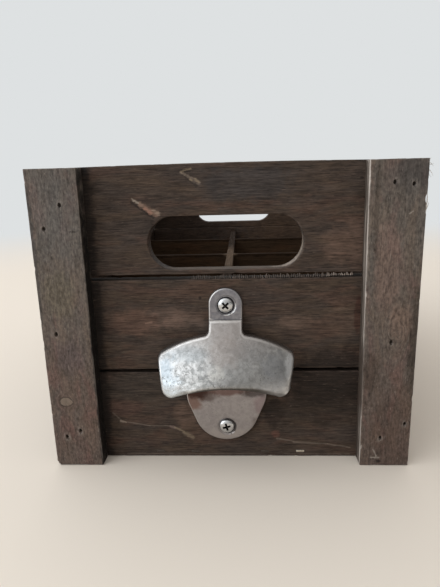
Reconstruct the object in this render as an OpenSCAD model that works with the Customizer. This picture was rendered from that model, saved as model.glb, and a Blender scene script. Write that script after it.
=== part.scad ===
// Slatted wooden beer crate with a cast bottle opener on its front end.
// X runs to the right, Y from the opener end to the back end, and Z up.
// The origin is the middle of the crate's underside.

/* [Crate] */
// Width over the long sides
crate_w = 190; // [176:1:230]
// Length over the corner battens
crate_l = 302; // [260:1:380]
// Thickness of the end slats
end_t = 9; // [7:0.5:12]
// Thickness of the long side slats
side_t = 9; // [8:0.5:12]

/* [Slats] */
// Height of the lowest slat of each wall
bottom_slat_h = 50; // [46:0.5:54]
// Height of the middle slat of each wall
middle_slat_h = 48.5; // [46:0.5:50]
// Height of the top slat of each wall
top_slat_h = 53.7; // [48:0.1:66]
// Gap between the bottom slat and the middle slat
lower_gap = 2.6; // [1:0.1:4]
// Gap between the middle slat and the top slat
upper_gap = 3.2; // [1:0.1:4]

/* [Battens] */
// Width of a corner batten
batten_w = 25.5; // [22:0.5:32]
// Thickness of a corner batten
batten_t = 9; // [7:0.5:12]

/* [Handle] */
// Length of the handle hole
handle_w = 79; // [70:1:96]
// Height of the handle hole
handle_h = 27.6; // [24:0.2:32]
// Wood left below the handle hole
handle_web = 2.2; // [1.5:0.1:5]

/* [Floor] */
// Thickness of the floor boards
floor_t = 6; // [5:0.5:9]
// Gap between two floor boards
floor_gap = 3; // [1:0.5:6]

/* [Dividers] */
// Thickness of the divider strips
divider_t = 5; // [4:0.5:8]
// Height of the dividers' top edges above the crate's underside
divider_top = 100; // [80:1:104]
// Play of each divider at its ends and in its slots
divider_play = 0.2; // [0.1:0.05:0.4]

/* [Opener] */
// Height of the opener casting
opener_h = 85; // [82:1:92]
// Height of the opener's lowest point above the crate's underside
opener_z = 12; // [10:0.5:14]
// Offset of the opener from the middle of the end
opener_x = -0.7; // [-3:0.1:3]
// Width across the hood's wings
hood_w = 70.2; // [66:0.2:76]
// How far the middle of the hood's lip stands out from the wall
hood_reach = 23.6; // [21:0.2:28]
// Wall thickness of the hood
hood_t = 3; // [2.5:0.1:4]
// Width of the screw tab and of the neck
tab_w = 17.5; // [16:0.5:20]
// Thickness of the screw tab and of the lower plate
tab_t = 2.4; // [2:0.1:3]

/* [Fasteners] */
// Diameter of a brad nail
brad_d = 1.2; // [1:0.1:1.4]
// Depth that a brad reaches into the second piece of wood
brad_bite = 6.5; // [5:0.5:6.5]
// Depth that a brad's head is driven below the surface
brad_set = 1; // [0.5:0.1:1.5]
// Diameter of an opener screw's shank
screw_d = 3.5; // [3:0.1:4]
// Diameter of an opener screw's head
screw_head_d = 8.1; // [7:0.1:8.6]
// Wood left behind an opener screw's point
screw_cover = 1; // [0.5:0.1:2]
// Width across a floor staple
staple_w = 5.2; // [4.5:0.1:6]
// Depth that a staple's legs reach into a floor board
staple_bite = 8; // [6:0.5:12]

/* [Hidden] */
$fn = 48;

// Colours of the finishes
STAINED = [0.22, 0.18, 0.15];
STAINED_SIDE = [0.26, 0.21, 0.17];
STAINED_INSIDE = [0.20, 0.15, 0.11];
CAST_METAL = [0.66, 0.65, 0.63];
SCREW_METAL = [0.78, 0.77, 0.72];
NAIL_METAL = [0.30, 0.29, 0.28];
STAPLE_METAL = [0.70, 0.68, 0.62];

// How far every cut runs past the surface that it opens
cut_over = 1;

// Faces of the box, counted out from its middle
x_out = crate_w / 2;
x_in = x_out - side_t;
y_out = crate_l / 2;
y_end = y_out - batten_t;
y_in = y_end - end_t;

// Lower edge and height of each course of slats: bottom, middle, top
middle_z = bottom_slat_h + lower_gap;
top_z = middle_z + middle_slat_h + upper_gap;
slat_z = [0, middle_z, top_z];
slat_h = [bottom_slat_h, middle_slat_h, top_slat_h];
crate_h = top_z + top_slat_h;

// Middle of the handle hole
handle_z = top_z + handle_web + handle_h / 2;

// Three floor boards side by side
floor_count = 3;
board_w = (2 * x_in - (floor_count - 1) * floor_gap) / floor_count;

// Dividers and the pitch of the bottle cells, three rows along the crate
cell_rows = 3;
divider_h = divider_top - floor_t;
cell_l = (2 * y_in - (cell_rows - 1) * divider_t) / cell_rows;
cross_y = [-cell_l / 2 - divider_t / 2, cell_l / 2 + divider_t / 2];
slot_w = divider_t + 2 * divider_play;

// Brad nails: head, pocket above the head, and the fit of the shank in the wood
brad_head_rim = 0.3;
brad_head_d = brad_d + 2 * brad_head_rim;
brad_head_h = 0.6;
brad_fit = 0.03;
batten_brad_l = batten_t - brad_set + brad_bite;
end_brad_l = end_t - brad_set + brad_bite;
side_brad_l = side_t - brad_set + brad_bite;

// Batten brads of each corner. Each row is the course, the share of the batten's width
// from its outer edge, and the share of the slat's height.
left_brad_shares = [
    [2, 0.60, 0.68], [2, 0.25, 0.47], [1, 0.27, 0.47], [0, 0.27, 0.34], [0, 0.57, 0.41],
];
right_brad_shares = [
    [2, 0.59, 0.81], [2, 0.24, 0.79], [1, 0.49, 0.34], [0, 0.60, 0.32], [0, 0.12, 0.48],
];

// Corner brads: height shares in each slat, clear of the batten brads' shares
corner_brad_shares = [0.2, 0.58];

// Divider brads: course and height share of its slat
divider_brad_shares = [[0, 0.7], [1, 0.25]];

// Floor brads along each side, as shares of the half length
floor_brad_shares = [-0.62, -0.08, 0.62];

// Staples: two at each end of a board, as shares of its width from its middle
staple_shares = [-0.35, 0.35];
staple_wire_w = 1.2;
staple_wire_t = 0.6;
staple_l = end_t + staple_bite;
staple_z = floor_t / 2;
staple_fit = 0.03;

// Opener casting, in heights above its lowest point and widths from its middle
tab_r = tab_w / 2;
upper_screw_z = opener_h - tab_r;
lower_screw_z = 8.2;
step_below_screw = 8.6;
step_z = upper_screw_z - step_below_screw;
step_rise = 1;
lip_z = 32;
arch_z = 40;
arch_r = 50;
crown_z = 62.5;
crown_r = 61.2;
neck_fillet_r = 2.5;
wing_corner_r = 4.5;
wing_lower_r = 4;
wing_taper = 2.3;
// The hood bends round an axis this far behind the wall
hood_axis = 45;
plate_bottom_r = 17.5;
plate_flare_angle = 21;
plate_half_w = 21.8;
plate_shoulder_z = 46;
plate_neck_z = 58;
plate_corner_r = 3;
tooth_half_w = 13;
tooth_z = 34;
tooth_h = 9;
tooth_reach = 4.5;
seat_d = screw_head_d + 1.6;
seat_depth = 0.9;
screw_hole_play = 0.3;

// Screw head and its cross recess
screw_head_h = 2.3;
screw_edge_share = 0.35;
screw_l = tab_t - seat_depth + end_t - screw_cover;
screw_point_l = 3;
screw_fit = 0.03;
cross_w = 0.95;
cross_l = 4.6;
cross_depth = 1.5;
upper_cross_turn = 38;
lower_cross_turn = 68;

// Points on an arc of radius r round c, from angle a0 to a1
function arc(c, r, a0, a1, steps) =
    [for (i = [0:steps]) let (a = a0 + (a1 - a0) * i / steps) c + r * [cos(a), sin(a)]];

// A list backwards, and a right half outline closed by its mirror image
function backwards(list) = [for (i = [len(list) - 1:-1:0]) list[i]];
function both_halves(right) = concat(right, [for (p = backwards(right)) [-p[0], p[1]]]);

// Middle of a batten brad: sx is the side, and share is a row of the tables above
function batten_brad_place(sx, share) =
    [sx * (x_out - share[1] * batten_w), slat_z[share[0]] + share[2] * slat_h[share[0]]];

// Left edge of a floor board, counted from the left
function board_x(index) = -x_in + index * (board_w + floor_gap);

// Stand-off of the hood's outer face from the wall at height z, on its middle line.
// It swings out from the step and reaches hood_reach at the middle of the arched lip.
function hood_swing(z) = sin(90 * min(1, max(0, (step_z - z) / (step_z - lip_z))));
function hood_stand(z) =
    let (neck_stand = tab_t + step_rise)
    neck_stand + (hood_reach - neck_stand) * hood_swing(z) / hood_swing(arch_z);

// A brad of length l with its head's outer face at the origin, pointing down
module brad(l) {
    translate([0, 0, -brad_head_h])
        cylinder(h = brad_head_h, d = brad_head_d);
    translate([0, 0, -l])
        cylinder(h = l - brad_head_h, d = brad_d);
}

// The hole that such a brad leaves, with the pocket above its head
module brad_hole(l) {
    translate([0, 0, -brad_head_h - brad_fit])
        cylinder(h = brad_head_h + brad_set + cut_over, d = brad_head_d + 2 * brad_fit);
    translate([0, 0, -l - brad_fit])
        cylinder(h = l, d = brad_d + 2 * brad_fit);
}

// Places a brad driven in at the front or back face: sy is -1 in front, 1 behind
module at_end_face(sy, x, z, face) {
    translate([x, sy * (face - brad_set), z])
        rotate([-90 * sy, 0, 0])
            children();
}

// Places a brad driven in at a long side: sx is -1 on the left, 1 on the right
module at_side_face(sx, y, z) {
    translate([sx * (x_out - brad_set), y, z])
        rotate([0, 90 * sx, 0])
            children();
}

// One brad at every place where a batten is nailed
module at_batten_brads(sx, sy) {
    for (share = sx < 0 ? left_brad_shares : right_brad_shares) {
        place = batten_brad_place(sx, share);
        at_end_face(sy, place[0], place[1], y_out)
            children();
    }
}

// One brad at every place where the side slats are nailed to an end
module at_corner_brads(sx, sy) {
    for (course = [0:2])
        for (share = corner_brad_shares)
            at_side_face(sx, sy * (y_in + end_t / 2), slat_z[course] + share * slat_h[course])
                children();
}

// One brad at every place where an end is nailed to the long divider
module at_long_divider_brads(sy) {
    for (share = divider_brad_shares)
        at_end_face(sy, 0, slat_z[share[0]] + share[1] * slat_h[share[0]], y_end)
            children();
}

// One brad at every place where a side is nailed to a cross divider
module at_cross_divider_brads(sx) {
    for (y = cross_y)
        for (share = divider_brad_shares)
            at_side_face(sx, y, slat_z[share[0]] + share[1] * slat_h[share[0]])
                children();
}

// One brad at every place where a side is nailed to the floor
module at_floor_brads(sx) {
    for (share = floor_brad_shares)
        at_side_face(sx, share * y_in, floor_t / 2)
            children();
}

// A staple whose crown lies flush in an end face, with fit added all round
module staple(fit, over) {
    crown_w = staple_w + 2 * fit;
    wire_w = staple_wire_w + 2 * fit;
    wire_t = staple_wire_t + 2 * fit;
    translate([-crown_w / 2, -over, -wire_w / 2])
        cube([crown_w, staple_wire_t + fit + over, wire_w]);
    for (side = [-1, 1])
        translate([side * (staple_w - staple_wire_t) / 2 - wire_t / 2, 0, -wire_w / 2])
            cube([wire_t, staple_l + fit, wire_w]);
}

// Every staple of one end, driven from the end slat into the floor boards
module floor_staples(sy, fit, over) {
    for (index = [0:floor_count - 1])
        for (share = staple_shares)
            translate([board_x(index) + (0.5 + share) * board_w, sy * y_end, staple_z])
                rotate([0, 0, sy > 0 ? 180 : 0])
                    staple(fit, over);
}

// Everything that is cut into the slats of one end, apart from the handle hole
module end_cuts(sy) {
    for (sx = [-1, 1]) {
        at_batten_brads(sx, sy) brad_hole(batten_brad_l);
        at_corner_brads(sx, sy) brad_hole(side_brad_l);
    }
    at_long_divider_brads(sy) brad_hole(end_brad_l);
    floor_staples(sy, staple_fit, cut_over);
    if (sy < 0)
        for (z = [upper_screw_z, lower_screw_z])
            at_opener_screw(z) screw_shape(screw_fit);
}

// A slat of an end, lying between the two long sides
module end_slat(sy, course) {
    color(STAINED)
        difference() {
            translate([-x_in, sy > 0 ? y_in : -y_end, slat_z[course]])
                cube([2 * x_in, end_t, slat_h[course]]);
            end_cuts(sy);
            if (course == 2) handle_hole(sy);
        }
}

// A long hole with round ends, through the top slat of an end
module handle_hole(sy) {
    straight = handle_w - handle_h;
    translate([0, sy * (y_in + end_t / 2), handle_z])
        rotate([90, 0, 0])
            linear_extrude(end_t + 2 * cut_over, center = true)
                union() {
                    square([straight, handle_h], center = true);
                    for (side = [-1, 1])
                        translate([side * straight / 2, 0])
                            circle(d = handle_h, $fn = 64);
                }
}

// A slat of a long side, covering the ends of the end slats
module side_slat(sx, course) {
    color(STAINED_SIDE)
        difference() {
            translate([sx > 0 ? x_in : -x_out, -y_end, slat_z[course]])
                cube([side_t, 2 * y_end, slat_h[course]]);
            for (sy = [-1, 1]) {
                at_batten_brads(sx, sy) brad_hole(batten_brad_l);
                at_corner_brads(sx, sy) brad_hole(side_brad_l);
            }
            at_cross_divider_brads(sx) brad_hole(side_brad_l);
            if (course == 0) at_floor_brads(sx) brad_hole(side_brad_l);
        }
}

// An upright batten over the corner joint of an end
module batten(sx, sy) {
    color(STAINED)
        difference() {
            translate([sx > 0 ? x_out - batten_w : -x_out, sy > 0 ? y_end : -y_out, 0])
                cube([batten_w, batten_t, crate_h]);
            at_batten_brads(sx, sy) brad_hole(batten_brad_l);
        }
}

// A floor board, lying lengthwise inside the walls; index counts them from the left
module floor_board(index) {
    color(STAINED_INSIDE)
        difference() {
            translate([board_x(index), -y_in, 0])
                cube([board_w, 2 * y_in, floor_t]);
            for (sy = [-1, 1])
                floor_staples(sy, staple_fit, cut_over);
            for (sx = [-1, 1])
                at_floor_brads(sx) brad_hole(side_brad_l);
        }
}

// The divider along the crate, slotted from above for the cross dividers
module long_divider() {
    length = 2 * (y_in - divider_play);
    color(STAINED_INSIDE)
        difference() {
            translate([-divider_t / 2, -length / 2, floor_t])
                cube([divider_t, length, divider_h]);
            for (y = cross_y)
                translate([-divider_t / 2 - cut_over, y - slot_w / 2, floor_t + divider_h / 2])
                    cube([divider_t + 2 * cut_over, slot_w, divider_h / 2 + cut_over]);
            for (sy = [-1, 1])
                at_long_divider_brads(sy) brad_hole(end_brad_l);
        }
}

// A divider across the crate, slotted from below to drop over the long one
module cross_divider(y) {
    width = 2 * (x_in - divider_play);
    color(STAINED_INSIDE)
        difference() {
            translate([-width / 2, y - divider_t / 2, floor_t])
                cube([width, divider_t, divider_h]);
            translate([-slot_w / 2, y - divider_t / 2 - cut_over, floor_t - cut_over])
                cube([slot_w, divider_t + 2 * cut_over, divider_h / 2 + cut_over + divider_play]);
            for (sx = [-1, 1])
                at_cross_divider_brads(sx) brad_hole(side_brad_l);
        }
}

// The opener's back plate: screw tab, neck, and the wide part with a round bottom
function plate_outline() =
    let (
        flare_x = plate_bottom_r * cos(plate_flare_angle),
        flare_z = plate_bottom_r - plate_bottom_r * sin(plate_flare_angle),
        side_z = flare_z + (plate_half_w - flare_x) / tan(plate_flare_angle)
    )
    both_halves(concat(
        arc([0, plate_bottom_r], plate_bottom_r, -90, -plate_flare_angle, 14),
        arc(
            [plate_half_w - plate_corner_r, side_z + plate_corner_r * tan(plate_flare_angle / 2)],
            plate_corner_r, -plate_flare_angle, 0, 3
        ),
        [[plate_half_w, plate_shoulder_z], [tab_r, plate_neck_z]],
        arc([0, opener_h - tab_r], tab_r, 0, 90, 12)
    ));

// The hood seen from the front: neck, wings with round corners, and the arched lip
function hood_outline() =
    let (
        half_w = hood_w / 2,
        crown = [0, crown_z - crown_r],
        arch = [0, arch_z - arch_r],
        neck_x = tab_r + neck_fillet_r,
        neck_z = crown[1] + sqrt(pow(crown_r + neck_fillet_r, 2) - pow(neck_x, 2)),
        neck_angle = atan2(neck_z - crown[1], neck_x),
        corner_x = half_w - wing_corner_r,
        corner_angle = acos(corner_x / (crown_r - wing_corner_r)),
        corner_z = crown[1] + corner_x * tan(corner_angle),
        lower_x = half_w - wing_taper - wing_lower_r,
        lower_angle = acos(lower_x / (arch_r + wing_lower_r)),
        lower_z = arch[1] + lower_x * tan(lower_angle)
    )
    both_halves(concat(
        [[tab_r, step_z]],
        arc([neck_x, neck_z], neck_fillet_r, 180, 180 + neck_angle, 5),
        arc(crown, crown_r, neck_angle, corner_angle, 8),
        arc([corner_x, corner_z], wing_corner_r, corner_angle, 0, 6),
        arc([lower_x, lower_z], wing_lower_r, 0, lower_angle - 180, 8),
        arc(arch, arch_r, lower_angle, 90, 8)
    ));

// The bent shell that the hood is cut from, as a ring round the hood's upright axis
module hood_shell() {
    steps = 12;
    low = lip_z - wing_lower_r;
    heights = [for (i = [0:steps]) low + (step_z - low) * i / steps];
    rotate_extrude($fn = 96)
        polygon(concat(
            [for (z = heights) [hood_axis + hood_stand(z), z]],
            [for (z = backwards(heights)) [hood_axis + hood_stand(z) - hood_t, z]]
        ));
}

// The wedge under the hood that catches the rim of a bottle cap
module cap_tooth() {
    rotate([90, 0, 90])
        linear_extrude(2 * tooth_half_w, center = true)
            polygon([
                [-tab_t / 2, tooth_z],
                [-tab_t - tooth_reach, tooth_z],
                [-tab_t - tooth_reach, tooth_z + tooth_h / 4],
                [-tab_t / 2, tooth_z + tooth_h],
            ]);
}

// Places a screw on the front wall, with its head's seat at the origin, pointing down
module at_opener_screw(z) {
    translate([opener_x, -y_end - tab_t + seat_depth, opener_z + z])
        rotate([90, 0, 0])
            children();
}

// The cast opener, screwed flat against the front wall
module bottle_opener() {
    color(CAST_METAL)
        difference() {
            translate([opener_x, -y_end, opener_z]) {
                rotate([90, 0, 0])
                    linear_extrude(tab_t)
                        polygon(plate_outline());
                intersection() {
                    rotate([90, 0, 0])
                        linear_extrude(hood_reach + cut_over)
                            polygon(hood_outline());
                    translate([0, hood_axis, 0])
                        hood_shell();
                }
                neck_block();
                cap_tooth();
            }
            for (z = [upper_screw_z, lower_screw_z])
                at_opener_screw(z) {
                    cylinder(h = seat_depth + cut_over, d = seat_d);
                    translate([0, 0, -tab_t - cut_over])
                        cylinder(h = tab_t + 2 * cut_over, d = screw_d + 2 * screw_hole_play);
                }
        }
}

// Solid metal under the top of the hood, which ties it to the plate
module neck_block() {
    block_h = step_z - plate_neck_z;
    rotate([90, 0, 90])
        linear_extrude(tab_w, center = true)
            polygon([
                [-tab_t / 2, step_z],
                [-tab_t - step_rise, step_z],
                [-hood_stand(plate_neck_z) + hood_t / 2, plate_neck_z],
                [-tab_t, plate_neck_z - block_h / 2],
                [-tab_t / 2, plate_neck_z - block_h / 2],
            ]);
}

// A screw with a domed head above the origin and its shank below, grown by fit
module screw_shape(fit) {
    dome_steps = 8;
    head_r = screw_head_d / 2 + fit;
    shank_r = screw_d / 2 + fit;
    rotate_extrude()
        polygon(concat(
            [[0, -screw_l - fit], [shank_r, -screw_l + screw_point_l], [shank_r, 0], [head_r, 0]],
            [for (i = [0:dome_steps]) let (a = 90 * i / dome_steps)
                [head_r * cos(a),
                    (screw_edge_share + (1 - screw_edge_share) * sin(a)) * screw_head_h]]
        ));
}

// An opener screw with its cross recess
module opener_screw(z, turn) {
    color(SCREW_METAL)
        at_opener_screw(z)
            difference() {
                screw_shape(0);
                for (a = [0, 90])
                    rotate([0, 0, turn + a])
                        translate([-cross_l / 2, -cross_w / 2, screw_head_h - cross_depth])
                            cube([cross_l, cross_w, cross_depth + cut_over]);
            }
}

// The five brads that hold a batten
module batten_brads(sx, sy) {
    color(NAIL_METAL)
        at_batten_brads(sx, sy) brad(batten_brad_l);
}

// The six brads that hold the side slats to an end
module corner_brads(sx, sy) {
    color(NAIL_METAL)
        at_corner_brads(sx, sy) brad(side_brad_l);
}

// The brads at both ends of the long divider
module long_divider_brads() {
    color(NAIL_METAL)
        for (sy = [-1, 1])
            at_long_divider_brads(sy) brad(end_brad_l);
}

// The brads at both ends of the two cross dividers
module cross_divider_brads() {
    color(NAIL_METAL)
        for (sx = [-1, 1])
            at_cross_divider_brads(sx) brad(side_brad_l);
}

// The brads that hold an outer floor board to its side
module floor_brads(sx) {
    color(NAIL_METAL)
        at_floor_brads(sx) brad(side_brad_l);
}

// The staples at one end of the floor
module end_staples(sy) {
    color(STAPLE_METAL)
        floor_staples(sy, 0, 0);
}

end_slat(-1, 0);  // front_bottom_slat
end_slat(-1, 1);  // front_middle_slat
end_slat(-1, 2);  // front_top_slat
end_slat(1, 0);  // back_bottom_slat
end_slat(1, 1);  // back_middle_slat
end_slat(1, 2);  // back_top_slat
side_slat(-1, 0);  // left_bottom_slat
side_slat(-1, 1);  // left_middle_slat
side_slat(-1, 2);  // left_top_slat
side_slat(1, 0);  // right_bottom_slat
side_slat(1, 1);  // right_middle_slat
side_slat(1, 2);  // right_top_slat
batten(-1, -1);  // front_left_batten
batten(1, -1);  // front_right_batten
batten(-1, 1);  // back_left_batten
batten(1, 1);  // back_right_batten
floor_board(0);  // left_floor_board
floor_board(1);  // middle_floor_board
floor_board(2);  // right_floor_board
long_divider();
cross_divider(cross_y[0]);  // front_cross_divider
cross_divider(cross_y[1]);  // back_cross_divider
bottle_opener();
opener_screw(upper_screw_z, upper_cross_turn);  // upper_opener_screw
opener_screw(lower_screw_z, lower_cross_turn);  // lower_opener_screw
batten_brads(-1, -1);  // front_left_batten_brads
batten_brads(1, -1);  // front_right_batten_brads
batten_brads(-1, 1);  // back_left_batten_brads
batten_brads(1, 1);  // back_right_batten_brads
corner_brads(-1, -1);  // front_left_corner_brads
corner_brads(1, -1);  // front_right_corner_brads
corner_brads(-1, 1);  // back_left_corner_brads
corner_brads(1, 1);  // back_right_corner_brads
long_divider_brads();
cross_divider_brads();
floor_brads(-1);  // left_floor_brads
floor_brads(1);  // right_floor_brads
end_staples(-1);  // front_floor_staples
end_staples(1);  // back_floor_staples
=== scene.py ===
"""Looks of a slatted beer crate: sawn and stained boards, brads, staples and a cast opener.

X runs to the right, Y from the opener end to the back end, and Z up, all in metres. Places and
sizes in the tables are in millimetres, and colours are screen values from 0 to 255.
"""

import math

import bmesh
import bpy
import numpy as np
from mathutils import Matrix, Vector, noise
from mathutils.geometry import delaunay_2d_cdt


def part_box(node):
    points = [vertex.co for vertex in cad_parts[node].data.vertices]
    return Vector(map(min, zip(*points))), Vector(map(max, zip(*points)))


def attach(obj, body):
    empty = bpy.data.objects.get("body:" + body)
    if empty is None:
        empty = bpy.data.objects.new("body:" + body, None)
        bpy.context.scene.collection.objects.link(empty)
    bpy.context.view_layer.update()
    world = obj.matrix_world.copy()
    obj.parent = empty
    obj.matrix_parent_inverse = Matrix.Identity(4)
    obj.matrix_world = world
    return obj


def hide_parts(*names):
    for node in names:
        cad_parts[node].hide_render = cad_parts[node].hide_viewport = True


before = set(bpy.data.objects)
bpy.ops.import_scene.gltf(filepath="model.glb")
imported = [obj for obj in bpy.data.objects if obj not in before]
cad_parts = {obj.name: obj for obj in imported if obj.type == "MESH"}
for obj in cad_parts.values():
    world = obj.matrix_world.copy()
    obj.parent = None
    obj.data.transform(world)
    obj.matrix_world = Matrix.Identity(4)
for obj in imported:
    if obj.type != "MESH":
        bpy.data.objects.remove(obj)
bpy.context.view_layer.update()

MM = 0.001
scene = bpy.context.scene
scene.view_settings.view_transform = "Standard"


def add_object(name, data):
    thing = bpy.data.objects.new(name, data)
    scene.collection.objects.link(thing)
    return thing


# The camera's place in millimetres, and its pitch, yaw and roll in degrees
CAMERA_PLACE = (7.89, -380.98, 149.54)
CAMERA_TURN = (-13.144, -2.702, -1.488)
# The photograph's longer side and the focal length that fits it, in its pixels
PHOTO_H, FOCAL_PX = 587, 475.0
SENSOR = 36.0


def make_camera():
    """The camera of the photograph: a little above the crate's rim, looking down at it."""
    pitch, yaw, roll = (math.radians(a) for a in CAMERA_TURN)
    forward = Vector(
        (math.cos(pitch) * math.sin(yaw), math.cos(pitch) * math.cos(yaw), math.sin(pitch))
    )
    level_right = Vector((math.cos(yaw), -math.sin(yaw), 0))
    level_up = level_right.cross(forward)
    right = level_right * math.cos(roll) + level_up * math.sin(roll)
    up = level_up * math.cos(roll) - level_right * math.sin(roll)
    turn = Matrix((right, up, -forward)).transposed().to_4x4()
    data = bpy.data.cameras.new("camera")
    data.sensor_width = SENSOR
    data.lens = FOCAL_PX / PHOTO_H * SENSOR
    data.clip_start = 0.01
    camera = add_object("camera", data)
    camera.matrix_world = Matrix.Translation(Vector(CAMERA_PLACE) * MM) @ turn
    scene.camera = camera


make_camera()

# Tools for writing node trees


def paint(red, green, blue):
    """A colour written as screen values from 0 to 255, in the linear numbers that nodes take."""
    linear = [
        v / 12.92 if v <= 0.04045 else ((v + 0.055) / 1.055) ** 2.4
        for v in (red / 255, green / 255, blue / 255)
    ]
    return (*linear, 1.0)


class Wire:
    """What a node gives out. A sum written with wires adds the nodes that work it out."""

    def __init__(self, bench, socket):
        self.bench, self.socket = bench, socket

    def __add__(self, other):
        return self.bench.calc("ADD", self, other)

    def __radd__(self, other):
        return self.bench.calc("ADD", other, self)

    def __sub__(self, other):
        return self.bench.calc("SUBTRACT", self, other)

    def __rsub__(self, other):
        return self.bench.calc("SUBTRACT", other, self)

    def __mul__(self, other):
        return self.bench.calc("MULTIPLY", self, other)

    def __truediv__(self, other):
        return self.bench.calc("DIVIDE", self, other)

    def __abs__(self):
        return self.bench.calc("ABSOLUTE", self)

    def __gt__(self, other):
        return self.bench.calc("GREATER_THAN", self, other)

    def __lt__(self, other):
        return self.bench.calc("LESS_THAN", self, other)


def is_vector(value):
    return value.socket.type == "VECTOR" if isinstance(value, Wire) else isinstance(value, tuple)


class Bench:
    """Places and joins the nodes of one tree."""

    def __init__(self, tree):
        self.tree = tree

    def fill(self, socket, value):
        if isinstance(value, Wire):
            self.tree.links.new(value.socket, socket)
        elif value is not None:
            socket.default_value = value

    def feed(self, node, **named):
        """Fills a node's sockets by name. An underscore stands for a space."""
        for label, value in named.items():
            label = label.replace("_", " ")
            self.fill(next(s for s in node.inputs if s.enabled and s.name == label), value)

    def node(self, kind, *values, **named):
        """Adds a node. The values fill its sockets in order, and None leaves one as it is.
        A name with a capital is a socket's, and any other name is a setting's."""
        node = self.tree.nodes.new(kind)
        for label in [n for n in named if n[0].islower()]:
            setattr(node, label, named.pop(label))
        for socket, value in zip([s for s in node.inputs if s.enabled], values):
            self.fill(socket, value)
        self.feed(node, **named)
        return node

    def every(self, kind, *values, **named):
        """Adds a node, and gives all its outputs by name."""
        node = self.node(kind, *values, **named)
        return {s.name: Wire(self, s) for s in node.outputs if s.enabled}

    def put(self, kind, *values, **named):
        """Adds a node, and gives its first output."""
        return next(iter(self.every(kind, *values, **named).values()))

    def calc(self, operation, *values, clamp=False):
        """A math node, or a vector math node where a value is a vector."""
        vectors = [is_vector(v) for v in values]
        if not any(vectors):
            return self.put("ShaderNodeMath", *values, operation=operation, use_clamp=clamp)
        if operation == "MULTIPLY" and not all(vectors):
            operation = "SCALE"
        return self.put("ShaderNodeVectorMath", *values, operation=operation)

    def length(self, vector):
        return self.calc("LENGTH", vector)

    def distance(self, first, second):
        return self.calc("DISTANCE", first, second)

    def least(self, *values):
        return self.calc("MINIMUM", *values)

    def most(self, *values):
        return self.calc("MAXIMUM", *values)

    def parts(self, vector):
        """The three components of a vector."""
        return tuple(self.every("ShaderNodeSeparateXYZ", vector).values())

    def join(self, x=0.0, y=0.0, z=0.0):
        return self.put("ShaderNodeCombineXYZ", x, y, z)

    def up(self, height):
        return self.join(0.0, 0.0, height)

    def noise(self, place, scale=1.0, detail=2.0, roughness=0.5, distortion=0.0):
        return self.put("ShaderNodeTexNoise", place, scale, detail, roughness, None, distortion)

    def spread(self, value, low, high, to_low=0.0, to_high=1.0, kind="SMOOTHSTEP"):
        """Maps low to high onto to_low to to_high, and holds the value at both ends."""
        ends = (low, high, to_low, to_high)
        return self.put("ShaderNodeMapRange", value, *ends, interpolation_type=kind)

    def between(self, share, first, second):
        """A number on its way from the first to the second."""
        return self.put("ShaderNodeMix", share, first, second, data_type="FLOAT")

    def switch(self, use_second, first, second, sort="FLOAT"):
        return self.put("GeometryNodeSwitch", use_second, first, second, input_type=sort)

    def pick(self, number, *values):
        """The value at a number, where the first value is at 0."""
        result = values[0]
        for place, value in enumerate(values[1:], 1):
            result = self.switch(number > place - 0.5, result, value)
        return result

    # Colours and masks

    def blend(self, share, first, second, how="MIX"):
        return self.put("ShaderNodeMix", share, first, second, data_type="RGBA", blend_type=how)

    def tint(self, colour, mask, tint, strength):
        return self.blend(mask * strength, colour, paint(*tint))

    def kept(self, name, output="Fac"):
        """A value that a piece's mesh keeps for its material."""
        return self.every("ShaderNodeAttribute", attribute_name=name)[output]

    def crate_place(self):
        """Where a point is on the crate, in millimetres."""
        return self.every("ShaderNodeTexCoord")["Object"] * 1000.0

    def patch(self, place, centre, radius):
        return self.put(
            "ShaderNodeGroup", node_tree=TINT_PATCH, Place=place, Centre=centre, Radius=radius
        )

    def patched(self, colour, place, patches, face_y=None):
        """The colour with a table of patches on it: centre, radii, tint and strength.
        A centre of two numbers, X and Z, is on the face at face_y."""
        for centre, radius, tint, strength in patches:
            if len(centre) == 2:
                centre = (centre[0], face_y, centre[1])
            colour = self.tint(colour, self.patch(place, centre, radius), tint, strength)
        return colour

    def relief(self, shader, height, strength, distance):
        """Gives a shader's surface a fine relief from a height."""
        bump = self.put("ShaderNodeBump", Height=height, Strength=strength, Distance=distance)
        self.feed(shader, Normal=bump)

    # Solids

    def many(self, kind, label, solids, first=None, **settings):
        """A node whose socket of that name takes several solids at once."""
        node = self.node(kind, first, **settings)
        for solid in solids:
            self.tree.links.new(solid.socket, node.inputs[label])
        return Wire(self, node.outputs[0])

    def fuse(self, *solids):
        """One closed solid from several that overlap."""
        how = {"operation": "UNION", "solver": "MANIFOLD"}
        return self.many("GeometryNodeMeshBoolean", "Mesh 2", solids, **how)

    def cut(self, solid, *tools):
        """The solid without what the tools take away."""
        how = {"operation": "DIFFERENCE", "solver": "MANIFOLD"}
        return self.many("GeometryNodeMeshBoolean", "Mesh 2", tools, solid, **how)

    def moved(self, solid, place=None, turn=None, size=None):
        return self.put("GeometryNodeTransform", solid, place, turn, size)

    def reshaped(self, solid, **named):
        """The solid with its points at a new Position, or moved by an Offset."""
        return self.put("GeometryNodeSetPosition", solid, **named)

    def shape_of(self, piece):
        return self.every("GeometryNodeObjectInfo", piece)["Geometry"]

    def stored(self, solid, name, value, sort="FLOAT"):
        """The solid with a value kept at its points under a name."""
        how = {"data_type": sort, "domain": "POINT"}
        return self.put("GeometryNodeStoreNamedAttribute", solid, None, name, value, **how)

    def read(self, name, sort="FLOAT"):
        return self.put("GeometryNodeInputNamedAttribute", name, data_type=sort)

    def aimed(self, way):
        """The turn that points Z along a way."""
        return self.put("FunctionNodeAlignRotationToVector", None, None, way, axis="Z")

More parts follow.
